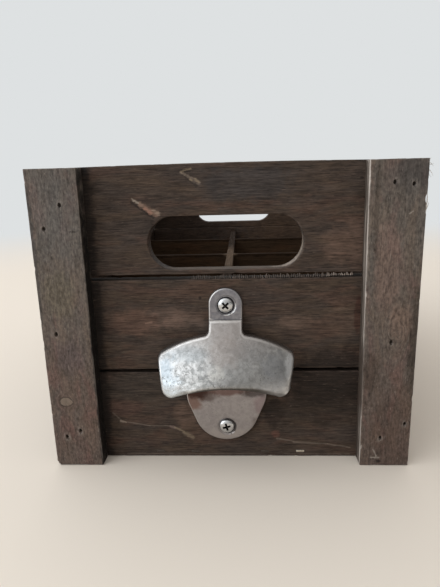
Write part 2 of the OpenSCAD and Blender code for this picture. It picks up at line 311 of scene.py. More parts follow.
    def copies(self, points, solid, **named):
        """The solid at each of the points, as real copies."""
        solids = self.put("GeometryNodeInstanceOnPoints", points, Instance=solid, **named)
        return self.put("GeometryNodeRealizeInstances", solids)

    def rounded(self, curve, radius, count):
        return self.put(
            "GeometryNodeFilletCurve", curve, Radius=radius, Count=count, mode="POLY"
        )

    def any_vector(self, low, high, seed):
        how = {"data_type": "FLOAT_VECTOR"}
        return self.put("FunctionNodeRandomValue", low, high, None, seed, **how)

    def driven_way(self):
        """The turn that points Z along each point's own drive."""
        return self.aimed(self.read("drive", "FLOAT_VECTOR"))

    def shaded(self, solid, crease):
        """Smooth shading, broken where faces meet at more than an angle in radians."""
        solid = self.put("GeometryNodeSetShadeSmooth", solid, None, True)
        sharp = self.put("GeometryNodeInputMeshEdgeAngle") > crease
        return self.put("GeometryNodeSetShadeSmooth", solid, sharp, False, domain="EDGE")

    # Ends of trees

    def give(self, **values):
        """Joins values to the tree's own outputs."""
        self.feed(self.result, **values)

    def hand_over(self, solid, material):
        """Ends a geometry tree: one plain solid in its material."""
        solid = self.put("GeometryNodeRealizeInstances", solid)
        solid = self.put("GeometryNodeSetMaterial", solid, None, material)
        self.tree.links.new(solid.socket, self.result.inputs[0])
        return self.tree


def start_tree(kind, name, takes, gives):
    """A new node tree. Its bench has its named inputs in given, and its outputs in result."""
    sorts = {float: "Float", int: "Int", bool: "Bool", tuple: "Vector"}
    tree = bpy.data.node_groups.new(name, kind)
    for label, start in takes.items():
        plain = not isinstance(start, str)
        sort = "NodeSocket" + (sorts[type(start)] if plain else start)
        socket = tree.interface.new_socket(label, in_out="INPUT", socket_type=sort)
        if plain:
            socket.default_value = start
    for label, sort in gives.items():
        tree.interface.new_socket(label, in_out="OUTPUT", socket_type="NodeSocket" + sort)
    bench = Bench(tree)
    inputs = tree.nodes.new("NodeGroupInput").outputs
    bench.given = {s.name: Wire(bench, s) for s in inputs if s.name}
    bench.result = tree.nodes.new("NodeGroupOutput")
    return bench


def start_masks(name, takes, *gives):
    """A shader group that works in millimetres from a Place and gives out masks."""
    takes = {"Place": (0.0, 0.0, 0.0), **takes}
    return start_tree("ShaderNodeTree", name, takes, dict.fromkeys(gives, "Float"))


def start_solid(name, takes, gives):
    """A geometry tree that gives out one solid in the last of its inputs, a material."""
    return start_tree("GeometryNodeTree", name, takes, {gives: "Geometry"})


def start_material(name):
    """A new material: the material, its bench, and its Principled shader."""
    material = bpy.data.materials.new(name)
    material.use_nodes = True
    tree = material.node_tree
    return material, Bench(tree), tree.nodes["Principled BSDF"]


# Floor, backdrop and light. The camera and mirrored rays see the paler floor, and the light
# that comes back from it has the duller colour.
FLOOR_SEEN, FLOOR_LIT = paint(226, 216, 204), paint(176, 164, 150)
BACKDROP = paint(222, 225, 226)
FLOOR_REACH, FLOOR_SIDES, FLOOR_DROP = 12.0, 64, 0.2 * MM
COOL, WARM = (0.93, 0.97, 1.0), (1.0, 0.95, 0.89)


def make_floor():
    """A plain pale floor that fades into the pale backdrop far from the crate."""
    angles = [2 * math.pi * i / FLOOR_SIDES for i in range(FLOOR_SIDES)]
    ring = [(FLOOR_REACH * math.cos(a), FLOOR_REACH * math.sin(a), 0) for a in angles]
    mesh = bpy.data.meshes.new("floor")
    mesh.from_pydata(ring, [], [tuple(range(FLOOR_SIDES))])
    floor = add_object("floor", mesh)
    floor.location.z = -FLOOR_DROP
    material, bench, shader = start_material("pale_floor")
    rays = bench.every("ShaderNodeLightPath")
    seen = bench.most(rays["Is Camera Ray"], rays["Is Glossy Ray"])
    seen = bench.most(seen, rays["Is Transmission Ray"])
    shade = bench.blend(seen, FLOOR_LIT, FLOOR_SEEN)
    bench.feed(shader, Base_Color=shade, Roughness=0.9, Specular_IOR_Level=0.1)
    away = bench.spread(bench.length(bench.every("ShaderNodeTexCoord")["Object"]), 0.5, 1.5)
    glow = bench.put("ShaderNodeEmission", BACKDROP, 1.0)
    plain = Wire(bench, shader.outputs[0])
    faded = bench.put("ShaderNodeMixShader", away * seen, plain, glow)
    bench.feed(material.node_tree.nodes["Material Output"], Surface=faded)
    mesh.materials.append(material)


def make_world():
    """Soft light from all round, brighter and cooler on the left, above and behind. The camera
    sees a plain backdrop, and so does metal that mirrors what stands behind the crate."""
    world = bpy.data.worlds.new("studio")
    scene.world = world
    world.use_nodes = True
    bench, nodes = Bench(world.node_tree), world.node_tree.nodes
    across, depth, up = bench.parts(bench.every("ShaderNodeTexCoord")["Generated"])
    side = bench.spread(across, -1.0, 1.0, 1.10, 0.08)
    above = bench.spread(up, -0.05, 0.9, 0.0, 0.45)
    behind = bench.spread(depth, -0.1, 0.8, 0.0, 0.25)
    warmth = bench.spread(across, -0.8, 0.9, kind="LINEAR")
    tint = bench.blend(warmth, (*COOL, 1.0), (*WARM, 1.0))
    bench.feed(nodes["Background"], Color=tint, Strength=side + above + behind)
    ambient = Wire(bench, nodes["Background"].outputs[0])
    backdrop = bench.put("ShaderNodeBackground", BACKDROP, 1.0)
    rays = bench.every("ShaderNodeLightPath")
    mirrored = rays["Is Glossy Ray"] * bench.spread(depth, 0.0, 0.5)
    shown = bench.most(rays["Is Camera Ray"], rays["Is Transmission Ray"])
    mixed = bench.put("ShaderNodeMixShader", bench.most(shown, mirrored), ambient, backdrop)
    bench.feed(nodes["World Output"], Surface=mixed)


def make_light(name, place, aim, size, power, colour):
    data = bpy.data.lights.new(name, "AREA")
    data.shape = "RECTANGLE"
    data.size, data.size_y = size
    data.energy = power
    data.color = colour
    light = add_object(name, data)
    light.location = place
    direction = Vector(aim) - Vector(place)
    light.rotation_euler = direction.to_track_quat("-Z", "Y").to_euler()
    light.visible_camera = False


make_floor()
make_world()
make_light("window_light", (-1.45, -0.75, 0.6), (0, 0, 0.06), (2.2, 1.8), 19, COOL)

# Shader groups


def fibre_group():
    """Wood whose fibres run along X. Each mask runs from 0 to 1: the fibres, the finer hairs
    between them, wide bands, dark pores, pale flecks, and warm and grey patches. The fibres
    flow round a knot and round the eye of a swirl."""
    bench = start_masks(
        "wood_fibres",
        {
            "Fibre Length": 14.0,
            "Fibre Width": 0.9,
            "Band Width": 7.0,
            "Waviness": 3.0,
            "Knot": (0.0, 0.0, 0.0),
            "Knot Radius": (0.01, 0.01, 0.01),
            "Swirl": (0.0, 0.0, 0.0),
            "Swirl Radius": (0.01, 0.01, 0.01),
        },
        *("Fibres", "Hairs", "Bands", "Pores", "Flecks", "Warm", "Grey"),
        *("Rings", "Knot Core", "Knot Rim"),
    )
    given, spread = bench.given, bench.spread
    length, width, place = given["Fibre Length"], given["Fibre Width"], given["Place"]
    wobble = bench.noise(place, 0.3, 2.0, 0.6)
    far = {}
    for label, push, soft in (("Knot", 4.0, 0.9), ("Swirl", 5.0, 0.3)):
        off = given["Place"] - given[label]
        far[label] = bench.length(off / given[label + " Radius"]) + wobble * soft
        place = place - bench.calc("NORMALIZE", off) * spread(far[label], 3.6, 0.7, 0.0, push)
    rim = spread(abs(far["Knot"] - 1.55), 0.2, 0.04)
    bench.give(Knot_Core=spread(far["Knot"], 1.5, 1.3), Knot_Rim=rim)
    rings = bench.calc("SINE", far["Swirl"] * 11.0) * spread(far["Swirl"], 2.6, 1.2)
    bench.give(Rings=rings * spread(far["Swirl"], 0.1, 0.6))
    slow = bench.noise(place / (70.0, 22.0, 22.0), 1.0, 1.0)
    shift = (slow - 0.5) * given["Waviness"]
    place = place + bench.join(0.0, shift, shift)

    def pattern(long, wide, detail=2.0, roughness=0.5, distortion=0.0):
        """Noise as long and as wide as the given numbers of millimetres."""
        return bench.noise(place / bench.join(long, wide, wide), 1.0, detail, roughness, distortion)

    pores = pattern(length * 0.5, width * 0.38, 1.0)
    flecks = pattern(length * 0.35, width * 0.5, 1.0, 0.5, 0.6)
    bench.give(
        Fibres=pattern(length, width, 3.0, 0.6),
        Hairs=pattern(length * 0.45, width * 0.42, 2.0, 0.6),
        Pores=spread(pores, 0.60, 0.72),
        Flecks=spread(flecks, 0.66, 0.78),
        Bands=pattern(length * 3.0, given["Band Width"], 2.0, 0.5, 0.4),
        Warm=spread(pattern(26.0, 9.0, 2.0, 0.6, 0.5), 0.48, 0.66),
        Grey=spread(pattern(31.0, 12.0, 2.0, 0.6, 0.5), 0.46, 0.62),
    )
    return bench.tree


def arris_group():
    """Where a board's arrises are rubbed pale, from its arris attribute."""
    bench = start_masks("rubbed_arris", {"Reach": 0.9, "Patchiness": 0.5}, "Mask")
    given = bench.given
    near = bench.spread(bench.kept("arris") * 1000.0, given["Reach"], 0.0)
    patch = bench.noise(given["Place"] / (9.0, 3.0, 3.0), 1.0, 3.0, 0.6)
    low, high = given["Patchiness"] - 0.12, given["Patchiness"] + 0.12
    bench.give(Mask=near * bench.spread(patch, low, high))
    return bench.tree


def scrape_group():
    """A ragged scrape from Start to End, as wide as its two widths."""
    bench = start_masks(
        "scrape",
        {
            "Start": (0.0, 0.0, 0.0),
            "End": (1.0, 0.0, 0.0),
            "Start Width": 1.0,
            "End Width": 1.0,
            "Raggedness": 1.0,
        },
        "Mask",
    )
    given = bench.given
    line, gone = given["End"] - given["Start"], given["Place"] - given["Start"]
    dots = bench.calc("DOT_PRODUCT", gone, line), bench.calc("DOT_PRODUCT", line, line)
    share = bench.calc("DIVIDE", *dots, clamp=True)
    away = bench.length(gone - line * share)
    rough = bench.noise(given["Place"] / (2.2, 2.2, 0.8), 1.0, 3.0, 0.65)
    width = bench.between(share, given["Start Width"], given["End Width"])
    edge = (away + (rough - 0.5) * given["Raggedness"]) / width
    bench.give(Mask=bench.spread(edge, 0.75, 0.15))
    return bench.tree


def patch_group():
    """A soft ragged patch round a Centre, with a Radius along each axis of the crate."""
    takes = {"Centre": (0.0, 0.0, 0.0), "Radius": (4.0, 4.0, 4.0)}
    bench = start_masks("tint_patch", takes, "Mask")
    given = bench.given
    far = bench.length((given["Place"] - given["Centre"]) / given["Radius"])
    far = far + (bench.noise(given["Place"], 0.22, 3.0, 0.6) - 0.5)
    bench.give(Mask=bench.spread(far, 1.0, 0.45))
    return bench.tree


def nail_group():
    """The dark ring and the pale halo round a driven brad, from the nail_gap attribute."""
    bench = start_masks("nail_marks", {"Ring": 1.5, "Reach": 4.2}, "Ring", "Halo")
    given = bench.given
    gap = bench.kept("nail_gap") * 1000.0 + bench.noise(given["Place"], 0.6, 2.0) * 1.1
    streak = bench.noise(given["Place"] / (1.3, 1.3, 4.0), 1.0, 2.0, 0.6)
    halo = bench.spread(gap, given["Reach"], given["Ring"]) * bench.spread(streak, 0.44, 0.6)
    bench.give(Ring=bench.spread(gap, given["Ring"], 0.9), Halo=halo)
    return bench.tree


def cast_group():
    """The skin of a casting: soft mottling, wrinkles, small pits and rub marks."""
    masks = ("Mottle", "Wrinkles", "Pits", "Rubs")
    bench = start_masks("cast_skin", {"Grain Size": 1.0}, *masks)
    place = bench.given["Place"] / bench.join(*[bench.given["Grain Size"]] * 3)
    folds = abs(bench.noise(place / (1.0, 1.0, 0.7), 0.62, 3.0, 0.55, 0.9) - 0.5)
    pits = bench.spread(bench.noise(place, 0.95, 2.0, 0.5, 0.4), 0.58, 0.72)
    bench.give(
        Mottle=bench.noise(place, 0.42, 4.0, 0.62, 0.3),
        Wrinkles=bench.spread(folds, 0.0, 0.16),
        Pits=pits * bench.spread(bench.noise(place, 0.09, 1.0), 0.42, 0.58),
        Rubs=bench.noise(place / (5.0, 1.0, 0.45), 1.0, 3.0, 0.6),
    )
    return bench.tree


WOOD_FIBRES = fibre_group()
RUBBED_ARRIS = arris_group()
SCRAPE = scrape_group()
TINT_PATCH = patch_group()
NAIL_MARKS = nail_group()
CAST_SKIN = cast_group()

# The crate's planes and edges in millimetres: outer faces of the slats and battens, and the
# inner edge of the right-hand battens
SLAT_Y, BATTEN_Y, BATTEN_EDGE = -142.0, -151.0, 69.5
CRATE_MIDDLE, BATTEN_MIDDLE, BATTEN_HALF_T = 79.0, 82.25, 4.5

# The right-hand battens' planed edge: the height where it is widest, the height of the painted
# shadow that the hood casts on it, and the line along it that kept its stain
PLANED_Z, HOOD_SHADOW_Z, STAINED_LINE = 118.0, 50.0, 147.6

# Materials


def planed_edge_with_painted_light(bench, colour, crate, worn):
    """The inner edges of the right-hand battens were planed after staining: a dark ground,
    bare wood on most of it, and a painted highlight along the arris. The bare wood is painted
    darker where the hood's shadow falls on it."""
    across, depth, height = bench.parts(crate)
    depth = abs(depth)
    spread = bench.spread
    edge = spread(abs(across - BATTEN_EDGE), 2.2, 1.7) * spread(depth, 150.9, 150.6)
    colour = bench.tint(colour, edge, (64, 54, 46), 0.85)
    planed = spread(abs(height - PLANED_Z), 8.0, 24.0, 143.4, 145.4)
    edge = edge * spread(depth - planed, 0.0, 1.0)
    # Painted shadow: the bare wood is left dark where the hood's shadow falls
    edge = edge * spread(abs(height - HOOD_SHADOW_Z), 13.0, 24.0, 0.12, 1.0)
    seam = spread(abs(depth - STAINED_LINE), 0.3, 0.8, 0.1, 1.0)
    patchy = bench.noise(crate / (1.0, 1.0, 14.0), 1.0, 2.0, 0.6)
    edge = edge * seam * spread(patchy, 0.35, 0.6, 0.35, 1.0)
    colour = bench.tint(colour, edge, worn, 0.8)
    # A painted highlight along the arris
    return bench.tint(colour, edge * spread(depth, 149.0, 150.0), (214, 204, 194), 0.85)


# How a board is darkened and reddened towards its foot, and how dark the grain may make it
FOOT_TINT, DARKEST = (0.86, 0.72, 0.68, 1.0), 0.35


def stained_wood(
    name,
    grey,
    brown,
    warm,
    worn,
    line=(22, 16, 13),
    fibre=(14.0, 0.9),
    band=7.0,
    waviness=3.0,
    contrast=0.34,
    line_strength=0.5,
    wear=0.4,
    knot=None,
    darker_foot=0.0,
    patches=(),
    scrapes=(),
    face_y=SLAT_Y,
    planed=False,
    mottle=0.35,
    clouds=0.0,
    sheen=0.26,
):
    """Rough sawn wood under a thin dark stain. The grain attribute runs along each board."""
    material, bench, shader = start_material(name)
    spread, tint = bench.spread, bench.tint
    grain = bench.kept("grain", "Vector") * 1000.0
    crate = bench.crate_place()
    wood = bench.every(
        "ShaderNodeGroup",
        node_tree=WOOD_FIBRES,
        Place=grain,
        Fibre_Length=fibre[0],
        Fibre_Width=fibre[1],
        Band_Width=band,
        Waviness=waviness,
        **(knot or {}),
    )
    colour = bench.blend(spread(wood["Bands"], 0.34, 0.66), paint(*brown), paint(*grey))
    colour = tint(colour, wood["Warm"], warm, 0.6)
    colour = tint(colour, wood["Grey"], grey, 0.55)
    # The tables' patches hold stains, and also painted shade, shadows and light where marked
    colour = bench.patched(colour, crate, patches, face_y)
    tone = (wood["Fibres"] - 0.5) * (5.0 * contrast) + (wood["Hairs"] - 0.5) * (3.4 * contrast)
    tone = tone + 1.0 + wood["Rings"] * 0.16
    blots = bench.noise(grain / (1.5, 1.0, 1.0), 0.7, 3.0, 0.62)
    cloud = bench.noise(grain / (12.0, 4.5, 4.5), 1.0, 3.0, 0.6, 0.4)
    tone = bench.most(tone + (blots - 0.5) * mottle + (cloud - 0.5) * clouds, DARKEST)
    if darker_foot:
        low = spread(bench.parts(crate)[2], 130.0, 0.0, 0.0, darker_foot)
        colour = bench.blend(low, colour, bench.blend(1.0, colour, FOOT_TINT, "MULTIPLY"))
    tone = bench.put("ShaderNodeCombineColor", tone, tone, tone)
    colour = bench.blend(1.0, colour, tone, "MULTIPLY")
    colour = tint(colour, wood["Pores"], line, line_strength)
    colour = tint(colour, wood["Flecks"], worn, 0.4)
    if planed:
        colour = planed_edge_with_painted_light(bench, colour, crate, worn)
    rubbed = bench.put("ShaderNodeGroup", node_tree=RUBBED_ARRIS, Place=grain, Patchiness=0.5)
    colour = tint(colour, rubbed, worn, wear)
    if knot:
        colour = tint(colour, wood["Knot Core"], (150, 136, 120), 0.42)
        colour = tint(colour, wood["Knot Rim"], line, 0.42)
    cut = None
    for start, end, widths, ragged, hue, strength in scrapes:
        mask = bench.put(
            "ShaderNodeGroup",
            node_tree=SCRAPE,
            Place=crate,
            Start=(start[0], face_y, start[1]),
            End=(end[0], face_y, end[1]),
            Start_Width=widths[0],
            End_Width=widths[1],
            Raggedness=ragged,
        )
        colour = tint(colour, mask * spread(wood["Hairs"], 0.3, 0.6, 0.5, 1.0), hue, strength)
        mask = mask * strength
        cut = mask if cut is None else bench.most(cut, mask)
    nails = bench.every("ShaderNodeGroup", node_tree=NAIL_MARKS, Place=crate)
    colour = tint(colour, nails["Halo"], worn, 0.35)
    colour = tint(colour, nails["Ring"], (14, 10, 8), 0.9)
    rough = spread(wood["Fibres"], 0.3, 0.7, 0.84, 0.6, kind="LINEAR")
    bench.feed(shader, Base_Color=colour, Roughness=rough, Specular_IOR_Level=sheen)
    height = wood["Fibres"] + wood["Hairs"] * 0.6 - wood["Pores"] * 0.5
    if cut is not None:
        height = height - cut
    bench.relief(shader, height, 0.6, 0.25 * MM)
    return material


# How far each board's seed moves its grain along its three directions
SEED_SHIFT = (370.0, 110.0, 50.0)
BATTEN_SEEDS = {"left": 13, "right": 14}


def in_batten(side, x, z):
    """A place on a front batten's face, in the millimetres that its board keeps as grain."""
    middle = {"left": -BATTEN_MIDDLE, "right": BATTEN_MIDDLE}[side]
    shift = [s * BATTEN_SEEDS[side] for s in SEED_SHIFT]
    return (z - CRATE_MIDDLE + shift[0], middle - x + shift[1], BATTEN_HALF_T + shift[2])


BATTEN_KNOT = {
    "Knot": in_batten("left", -86.6, 37.5),
    "Knot_Radius": (2.3, 3.1, 9.0),
    "Swirl": in_batten("right", 84.5, 74.0),
    "Swirl_Radius": (13.0, 3.4, 30.0),
}

# Scrapes have a start and an end (X, Z) on the outer face, their widths there, raggedness,
# tint and strength. Patches have a centre, radii along X, Y and Z, tint and strength. A centre
# of two numbers is (X, Z) on the outer face. Besides stains, some patches are painted shade,
# shadows and light, and each of these is marked.
BARE, PALE, GLINT = (146, 118, 102), (128, 114, 102), (160, 142, 118)

SLAT_SCRAPES = (
    ((-46.6, 141.0), (-36.0, 133.4), (0.9, 1.6), 1.6, (26, 19, 16), 0.8),
    ((-46.2, 142.8), (-41.6, 139.6), (0.9, 2.2), 2.4, PALE, 0.65),
    ((-42.2, 139.8), (-34.4, 135.0), (2.2, 3.0), 3.6, BARE, 0.66),
    ((-45.8, 142.4), (-43.2, 140.6), (1.0, 1.0), 1.6, (176, 164, 150), 0.6),
    ((-39.8, 137.8), (-37.0, 135.6), (1.7, 1.7), 2.8, (168, 126, 108), 0.62),
    ((-35.6, 137.0), (-33.0, 135.0), (1.4, 1.8), 2.6, (156, 138, 122), 0.55),
    ((-20.6, 154.4), (-13.4, 148.6), (1.4, 2.4), 2.8, (28, 21, 17), 0.7),
    ((-21.2, 154.8), (-19.2, 153.8), (1.3, 1.3), 2.2, PALE, 0.7),
    ((-20.8, 155.2), (-16.2, 156.6), (1.3, 0.8), 2.0, GLINT, 0.5),
    ((-19.2, 155.2), (-16.4, 155.4), (0.9, 0.7), 0.6, (24, 17, 14), 0.85),
    ((-18.0, 153.2), (-12.6, 149.8), (1.4, 2.4), 4.2, PALE, 0.66),
    ((-16.6, 151.4), (-15.8, 151.0), (1.1, 1.1), 1.2, GLINT, 0.6),
    ((-14.2, 151.6), (-12.4, 150.0), (1.0, 1.0), 1.6, GLINT, 0.6),
    ((-58.0, 1.5), (14.0, 1.3), (0.6, 0.6), 0.9, PALE, 0.4),
    ((30.0, 1.4), (66.0, 1.2), (0.5, 0.6), 0.9, PALE, 0.35),
    ((-64.6, 26.4), (-60.4, 22.4), (0.9, 0.8), 1.6, PALE, 0.4),
    ((-60.6, 21.6), (-57.6, 20.9), (1.1, 1.0), 1.0, (176, 158, 140), 0.62),
    ((-60.0, 21.6), (-44.3, 18.7), (0.7, 0.6), 0.7, PALE, 0.6),
    ((-44.3, 18.7), (-33.1, 18.6), (0.6, 0.6), 0.8, PALE, 0.55),
    ((-32.8, 18.2), (-30.4, 17.6), (1.5, 1.5), 1.6, (146, 126, 118), 0.5),
    ((-30.4, 17.7), (-25.4, 15.1), (1.1, 1.3), 1.6, GLINT, 0.5),
    ((-25.2, 14.4), (-20.8, 11.6), (2.0, 2.8), 3.0, GLINT, 0.42),
    ((26.0, 10.8), (35.4, 9.0), (1.0, 1.0), 1.2, PALE, 0.5),
    ((35.4, 8.6), (54.0, 7.4), (1.5, 0.7), 1.2, PALE, 0.5),
    ((54.0, 7.4), (66.3, 5.2), (0.8, 0.8), 1.0, PALE, 0.5),
    ((-43.2, 78.1), (-40.0, 78.4), (0.9, 0.9), 0.8, BARE, 0.6),
)
SLAT_STAINS_AND_PAINTED_LIGHT = (
    ((11.0, 149.0), (30.0, 9.0, 11.0), (58, 55, 55), 0.6),
    ((61.0, 117.6), (15.0, 9.0, 15.0), (106, 84, 72), 0.55),
    ((-28.0, 80.0), (22.0, 9.0, 8.0), (104, 86, 76), 0.5),
    # Painted shadow that the opener casts to its right, over the lower seam
    ((57.0, 47.0), (34.0, 9.0, 22.0), (30, 21, 16), 0.8),
    ((62.0, 78.0), (14.0, 9.0, 12.0), (98, 80, 68), 0.4),
    ((-24.5, 26.0), (9.0, 9.0, 10.0), (100, 80, 68), 0.66),
    ((-28.5, 78.5), (7.0, 9.0, 5.0), (118, 96, 84), 0.5),
    ((36.0, 78.0), (14.0, 9.0, 5.0), (106, 86, 74), 0.5),
    # Painted shadow beside the opener's plate
    ((24.5, 27.0), (8.0, 9.0, 12.0), (28, 21, 17), 0.7),
    ((-50.0, 78.0), (20.0, 9.0, 9.0), (102, 77, 65), 0.55),
    ((-21.7, 17.6), (8.0, 9.0, 5.0), (96, 76, 62), 0.5),
    ((67.5, 81.2), (2.2, 6.0, 14.0), (62, 34, 26), 0.6),
    ((-57.0, 29.5), (15.0, 9.0, 7.0), (86, 63, 55), 0.55),
    ((25.6, 13.4), (3.2, 4.0, 2.6), (104, 70, 60), 0.6),
    # Painted shadow of the left batten in the top slat's corner
    ((-69.0, 156.0), (3.0, 4.0, 3.4), (24, 18, 15), 0.7),
    ((-13.8, 91.4), (1.1, 2.0, 1.1), (24, 17, 14), 0.85),
    ((66.8, 150.1), (1.3, 2.0, 1.0), (26, 19, 15), 0.7),
    ((45.0, 72.0), (22.0, 9.0, 5.0), (80, 61, 50), 0.35),
    # Painted shadow that the opener casts to its right and down
    ((50.0, 31.0), (36.0, 9.0, 15.0), (42, 33, 26), 0.6),
    # Painted shadow that the left batten casts on the slats beside it
    ((-70.5, 79.0), (6.6, 9.0, 170.0), (20, 15, 13), 0.8),
    ((-17.0, 12.0), (9.0, 9.0, 5.5), (96, 74, 62), 0.4),
    # Painted shadow that the opener casts to its right
    ((52.0, 38.0), (32.0, 9.0, 9.0), (34, 25, 19), 0.6),
    ((-48.0, 42.0), (26.0, 9.0, 12.0), (54, 48, 42), 0.5),
    # Painted shade along the two front seams
    ((0.0, 51.0), (160.0, 9.0, 2.9), (38, 28, 22), 0.62),
    ((0.0, 102.6), (160.0, 9.0, 2.5), (40, 31, 25), 0.5),
    # Painted shade where the back seams' gaps are closed
    ((0.0, 142.0, 51.3), (160.0, 6.0, 2.2), (15, 10, 8), 0.92),
    ((0.0, 142.0, 102.7), (160.0, 6.0, 2.2), (15, 10, 8), 0.92),
    # Painted shade on the left of the back wall's inner face, and painted light on its right
    ((-100.0, 133.0, 79.0), (130.0, 5.0, 300.0), (46, 32, 22), 0.7),
    ((70.0, 133.0, 100.0), (90.0, 5.0, 60.0), (86, 66, 50), 0.6),
    # Paler bare wood and painted light on the handle hole's lower and right walls
    ((31.0, -136.0, 109.5), (17.0, 5.4, 4.6), (156, 142, 130), 0.72),
    ((38.6, -136.0, 117.0), (3.4, 5.4, 9.0), (146, 132, 118), 0.66),
    ((0.0, -136.0, 106.3), (48.0, 5.4, 1.5), (108, 95, 84), 0.55),
)
# Painted shade on the inner faces of the side walls
INSIDE_PAINTED_SHADE = tuple(
    ((x, 0.0, CRATE_MIDDLE), (5.0, 300.0, 300.0), (46, 32, 22), 0.7) for x in (-86.0, 86.0)
)
DIVIDER_LIGHT_AND_SHADE = (
    # Painted shade on the dividers' top edges
    ((0.0, 0.0, 100.6), (200.0, 300.0, 3.2), (36, 26, 19), 0.8),
    # Painted light on the long divider's top edge towards the front
    ((0.0, -58.0, 100.6), (6.0, 66.0, 4.0), (96, 80, 66), 0.8),
)
BATTEN_STAINS_AND_SHADE = (
    ((88.0, 151.5), (13.0, 9.0, 11.0), (66, 63, 62), 0.6),
    ((79.0, 108.0), (9.0, 9.0, 30.0), (122, 101, 92), 0.5),
    ((72.2, 140.0), (1.5, 3.0, 34.0), (66, 57, 50), 0.5),
    ((86.0, 20.0), (16.0, 9.0, 34.0), (82, 66, 58), 0.4),
    # Painted shadow that the opener's hood casts on the right batten
    ((72.6, 52.0), (5.0, 4.0, 17.0), (66, 55, 47), 0.6),
    ((88.0, 80.0), (9.0, 6.0, 12.0), (126, 106, 94), 0.5),
    ((95.4, 70.0), (6.0, 5.0, 44.0), (62, 56, 49), 0.8),
    ((-84.0, 96.0), (12.0, 9.0, 16.0), (104, 96, 80), 0.5),
    ((-82.0, 138.0), (15.0, 9.0, 32.0), (92, 90, 88), 0.45),
    ((-95.4, 118.0), (2.4, 4.0, 48.0), (60, 58, 58), 0.6),
    ((-82.0, 62.0), (10.0, 9.0, 12.0), (94, 82, 82), 0.5),
    ((-74.4, 127.8), (2.6, 3.0, 0.7), (48, 42, 39), 0.6),
    ((79.2, 2.5), (1.6, 3.0, 1.0), (28, 20, 18), 0.8),
    # Painted shade on the left batten's inner side, which faces away from the light
    ((-69.4, -146.2, 79.0), (1.6, 14.0, 170.0), (9, 7, 6), 0.96),
)
BATTEN_SCRAPES = (
    ((76.2, 9.4), (78.0, 5.5), (0.8, 0.8), 0.8, (168, 158, 148), 0.7),
    ((75.2, 4.7), (79.4, 4.6), (0.8, 0.8), 1.0, (168, 158, 148), 0.65),
    ((87.4, 133.0), (89.0, 134.2), (0.8, 0.8), 1.0, (168, 158, 148), 0.6),
    ((94.2, 25.5), (96.0, 20.5), (0.7, 0.7), 0.6, (30, 22, 18), 0.9),
)

end_wood = stained_wood(
    "stained_end_wood",
    grey=(64, 54, 48),
    brown=(70, 57, 47),
    warm=(80, 60, 50),
    worn=(120, 103, 92),
    fibre=(10.0, 0.8),
    band=7.0,
    waviness=2.2,
    contrast=0.38,
    clouds=1.1,
    line_strength=0.6,
    wear=0.35,
    patches=SLAT_STAINS_AND_PAINTED_LIGHT,
    scrapes=SLAT_SCRAPES,
)
side_wood = stained_wood(
    "stained_side_wood",
    grey=(70, 62, 56),
    brown=(78, 66, 55),
    warm=(88, 66, 54),
    worn=(122, 107, 94),
    fibre=(22.0, 0.85),
    band=8.0,
    waviness=3.2,
    contrast=0.4,
    line_strength=0.5,
    wear=0.4,
    patches=INSIDE_PAINTED_SHADE,
)
batten_wood = stained_wood(
    "stained_batten_wood",
    grey=(97, 90, 84),
    brown=(103, 92, 83),
    warm=(110, 88, 82),
    worn=(162, 152, 143),
    line=(44, 37, 33),
    fibre=(7.0, 0.8),
    band=6.0,
    waviness=5.0,
    contrast=0.19,
    clouds=0.6,
    line_strength=0.3,
    wear=0.3,
    knot=BATTEN_KNOT,
    mottle=1.9,
    darker_foot=0.8,
    patches=BATTEN_STAINS_AND_SHADE,
    scrapes=BATTEN_SCRAPES,
    face_y=BATTEN_Y,
    planed=True,
)
inner_wood = stained_wood(
    "stained_inner_wood",
    grey=(62, 48, 36),
    brown=(67, 51, 38),
    warm=(74, 53, 38),
    worn=(84, 66, 52),
    fibre=(20.0, 1.0),
    band=9.0,
    contrast=0.24,
    wear=0.05,
    sheen=0.03,
    patches=DIVIDER_LIGHT_AND_SHADE,
)

# The opener's place on the wall, and the circle of its hood's arch
OPENER_X, OPENER_Z = -0.7, 12.0
ARCH_Z, ARCH_R = 37.7, 62.0

# Painted shadows and reflections on the plate, and painted reflections, highlights and shade on the
# hood: centre, radii, tint and strength
PLATE_SHADOWS_AND_REFLECTIONS = (
    ((-0.7, -144.5, 40.4), (21.0, 4.0, 3.6), (100, 68, 60), 0.72),
    ((-20.6, -144.5, 35.0), (8.0, 4.0, 7.5), (116, 82, 68), 0.7),
    ((18.0, -144.5, 33.0), (7.0, 4.0, 8.0), (132, 108, 112), 0.45),
    ((14.0, -144.5, 39.2), (11.0, 4.0, 3.6), (66, 58, 56), 0.75),
    ((-13.5, -144.5, 38.0), (9.0, 4.0, 5.0), (78, 61, 55), 0.7),
    ((-0.7, -144.5, 14.6), (17.0, 4.0, 5.0), (180, 172, 168), 0.5),
    ((15.6, -144.5, 19.0), (4.0, 4.0, 8.0), (112, 100, 97), 0.6),
    ((-17.5, -144.5, 39.6), (9.0, 4.0, 4.4), (58, 38, 32), 0.8),
)
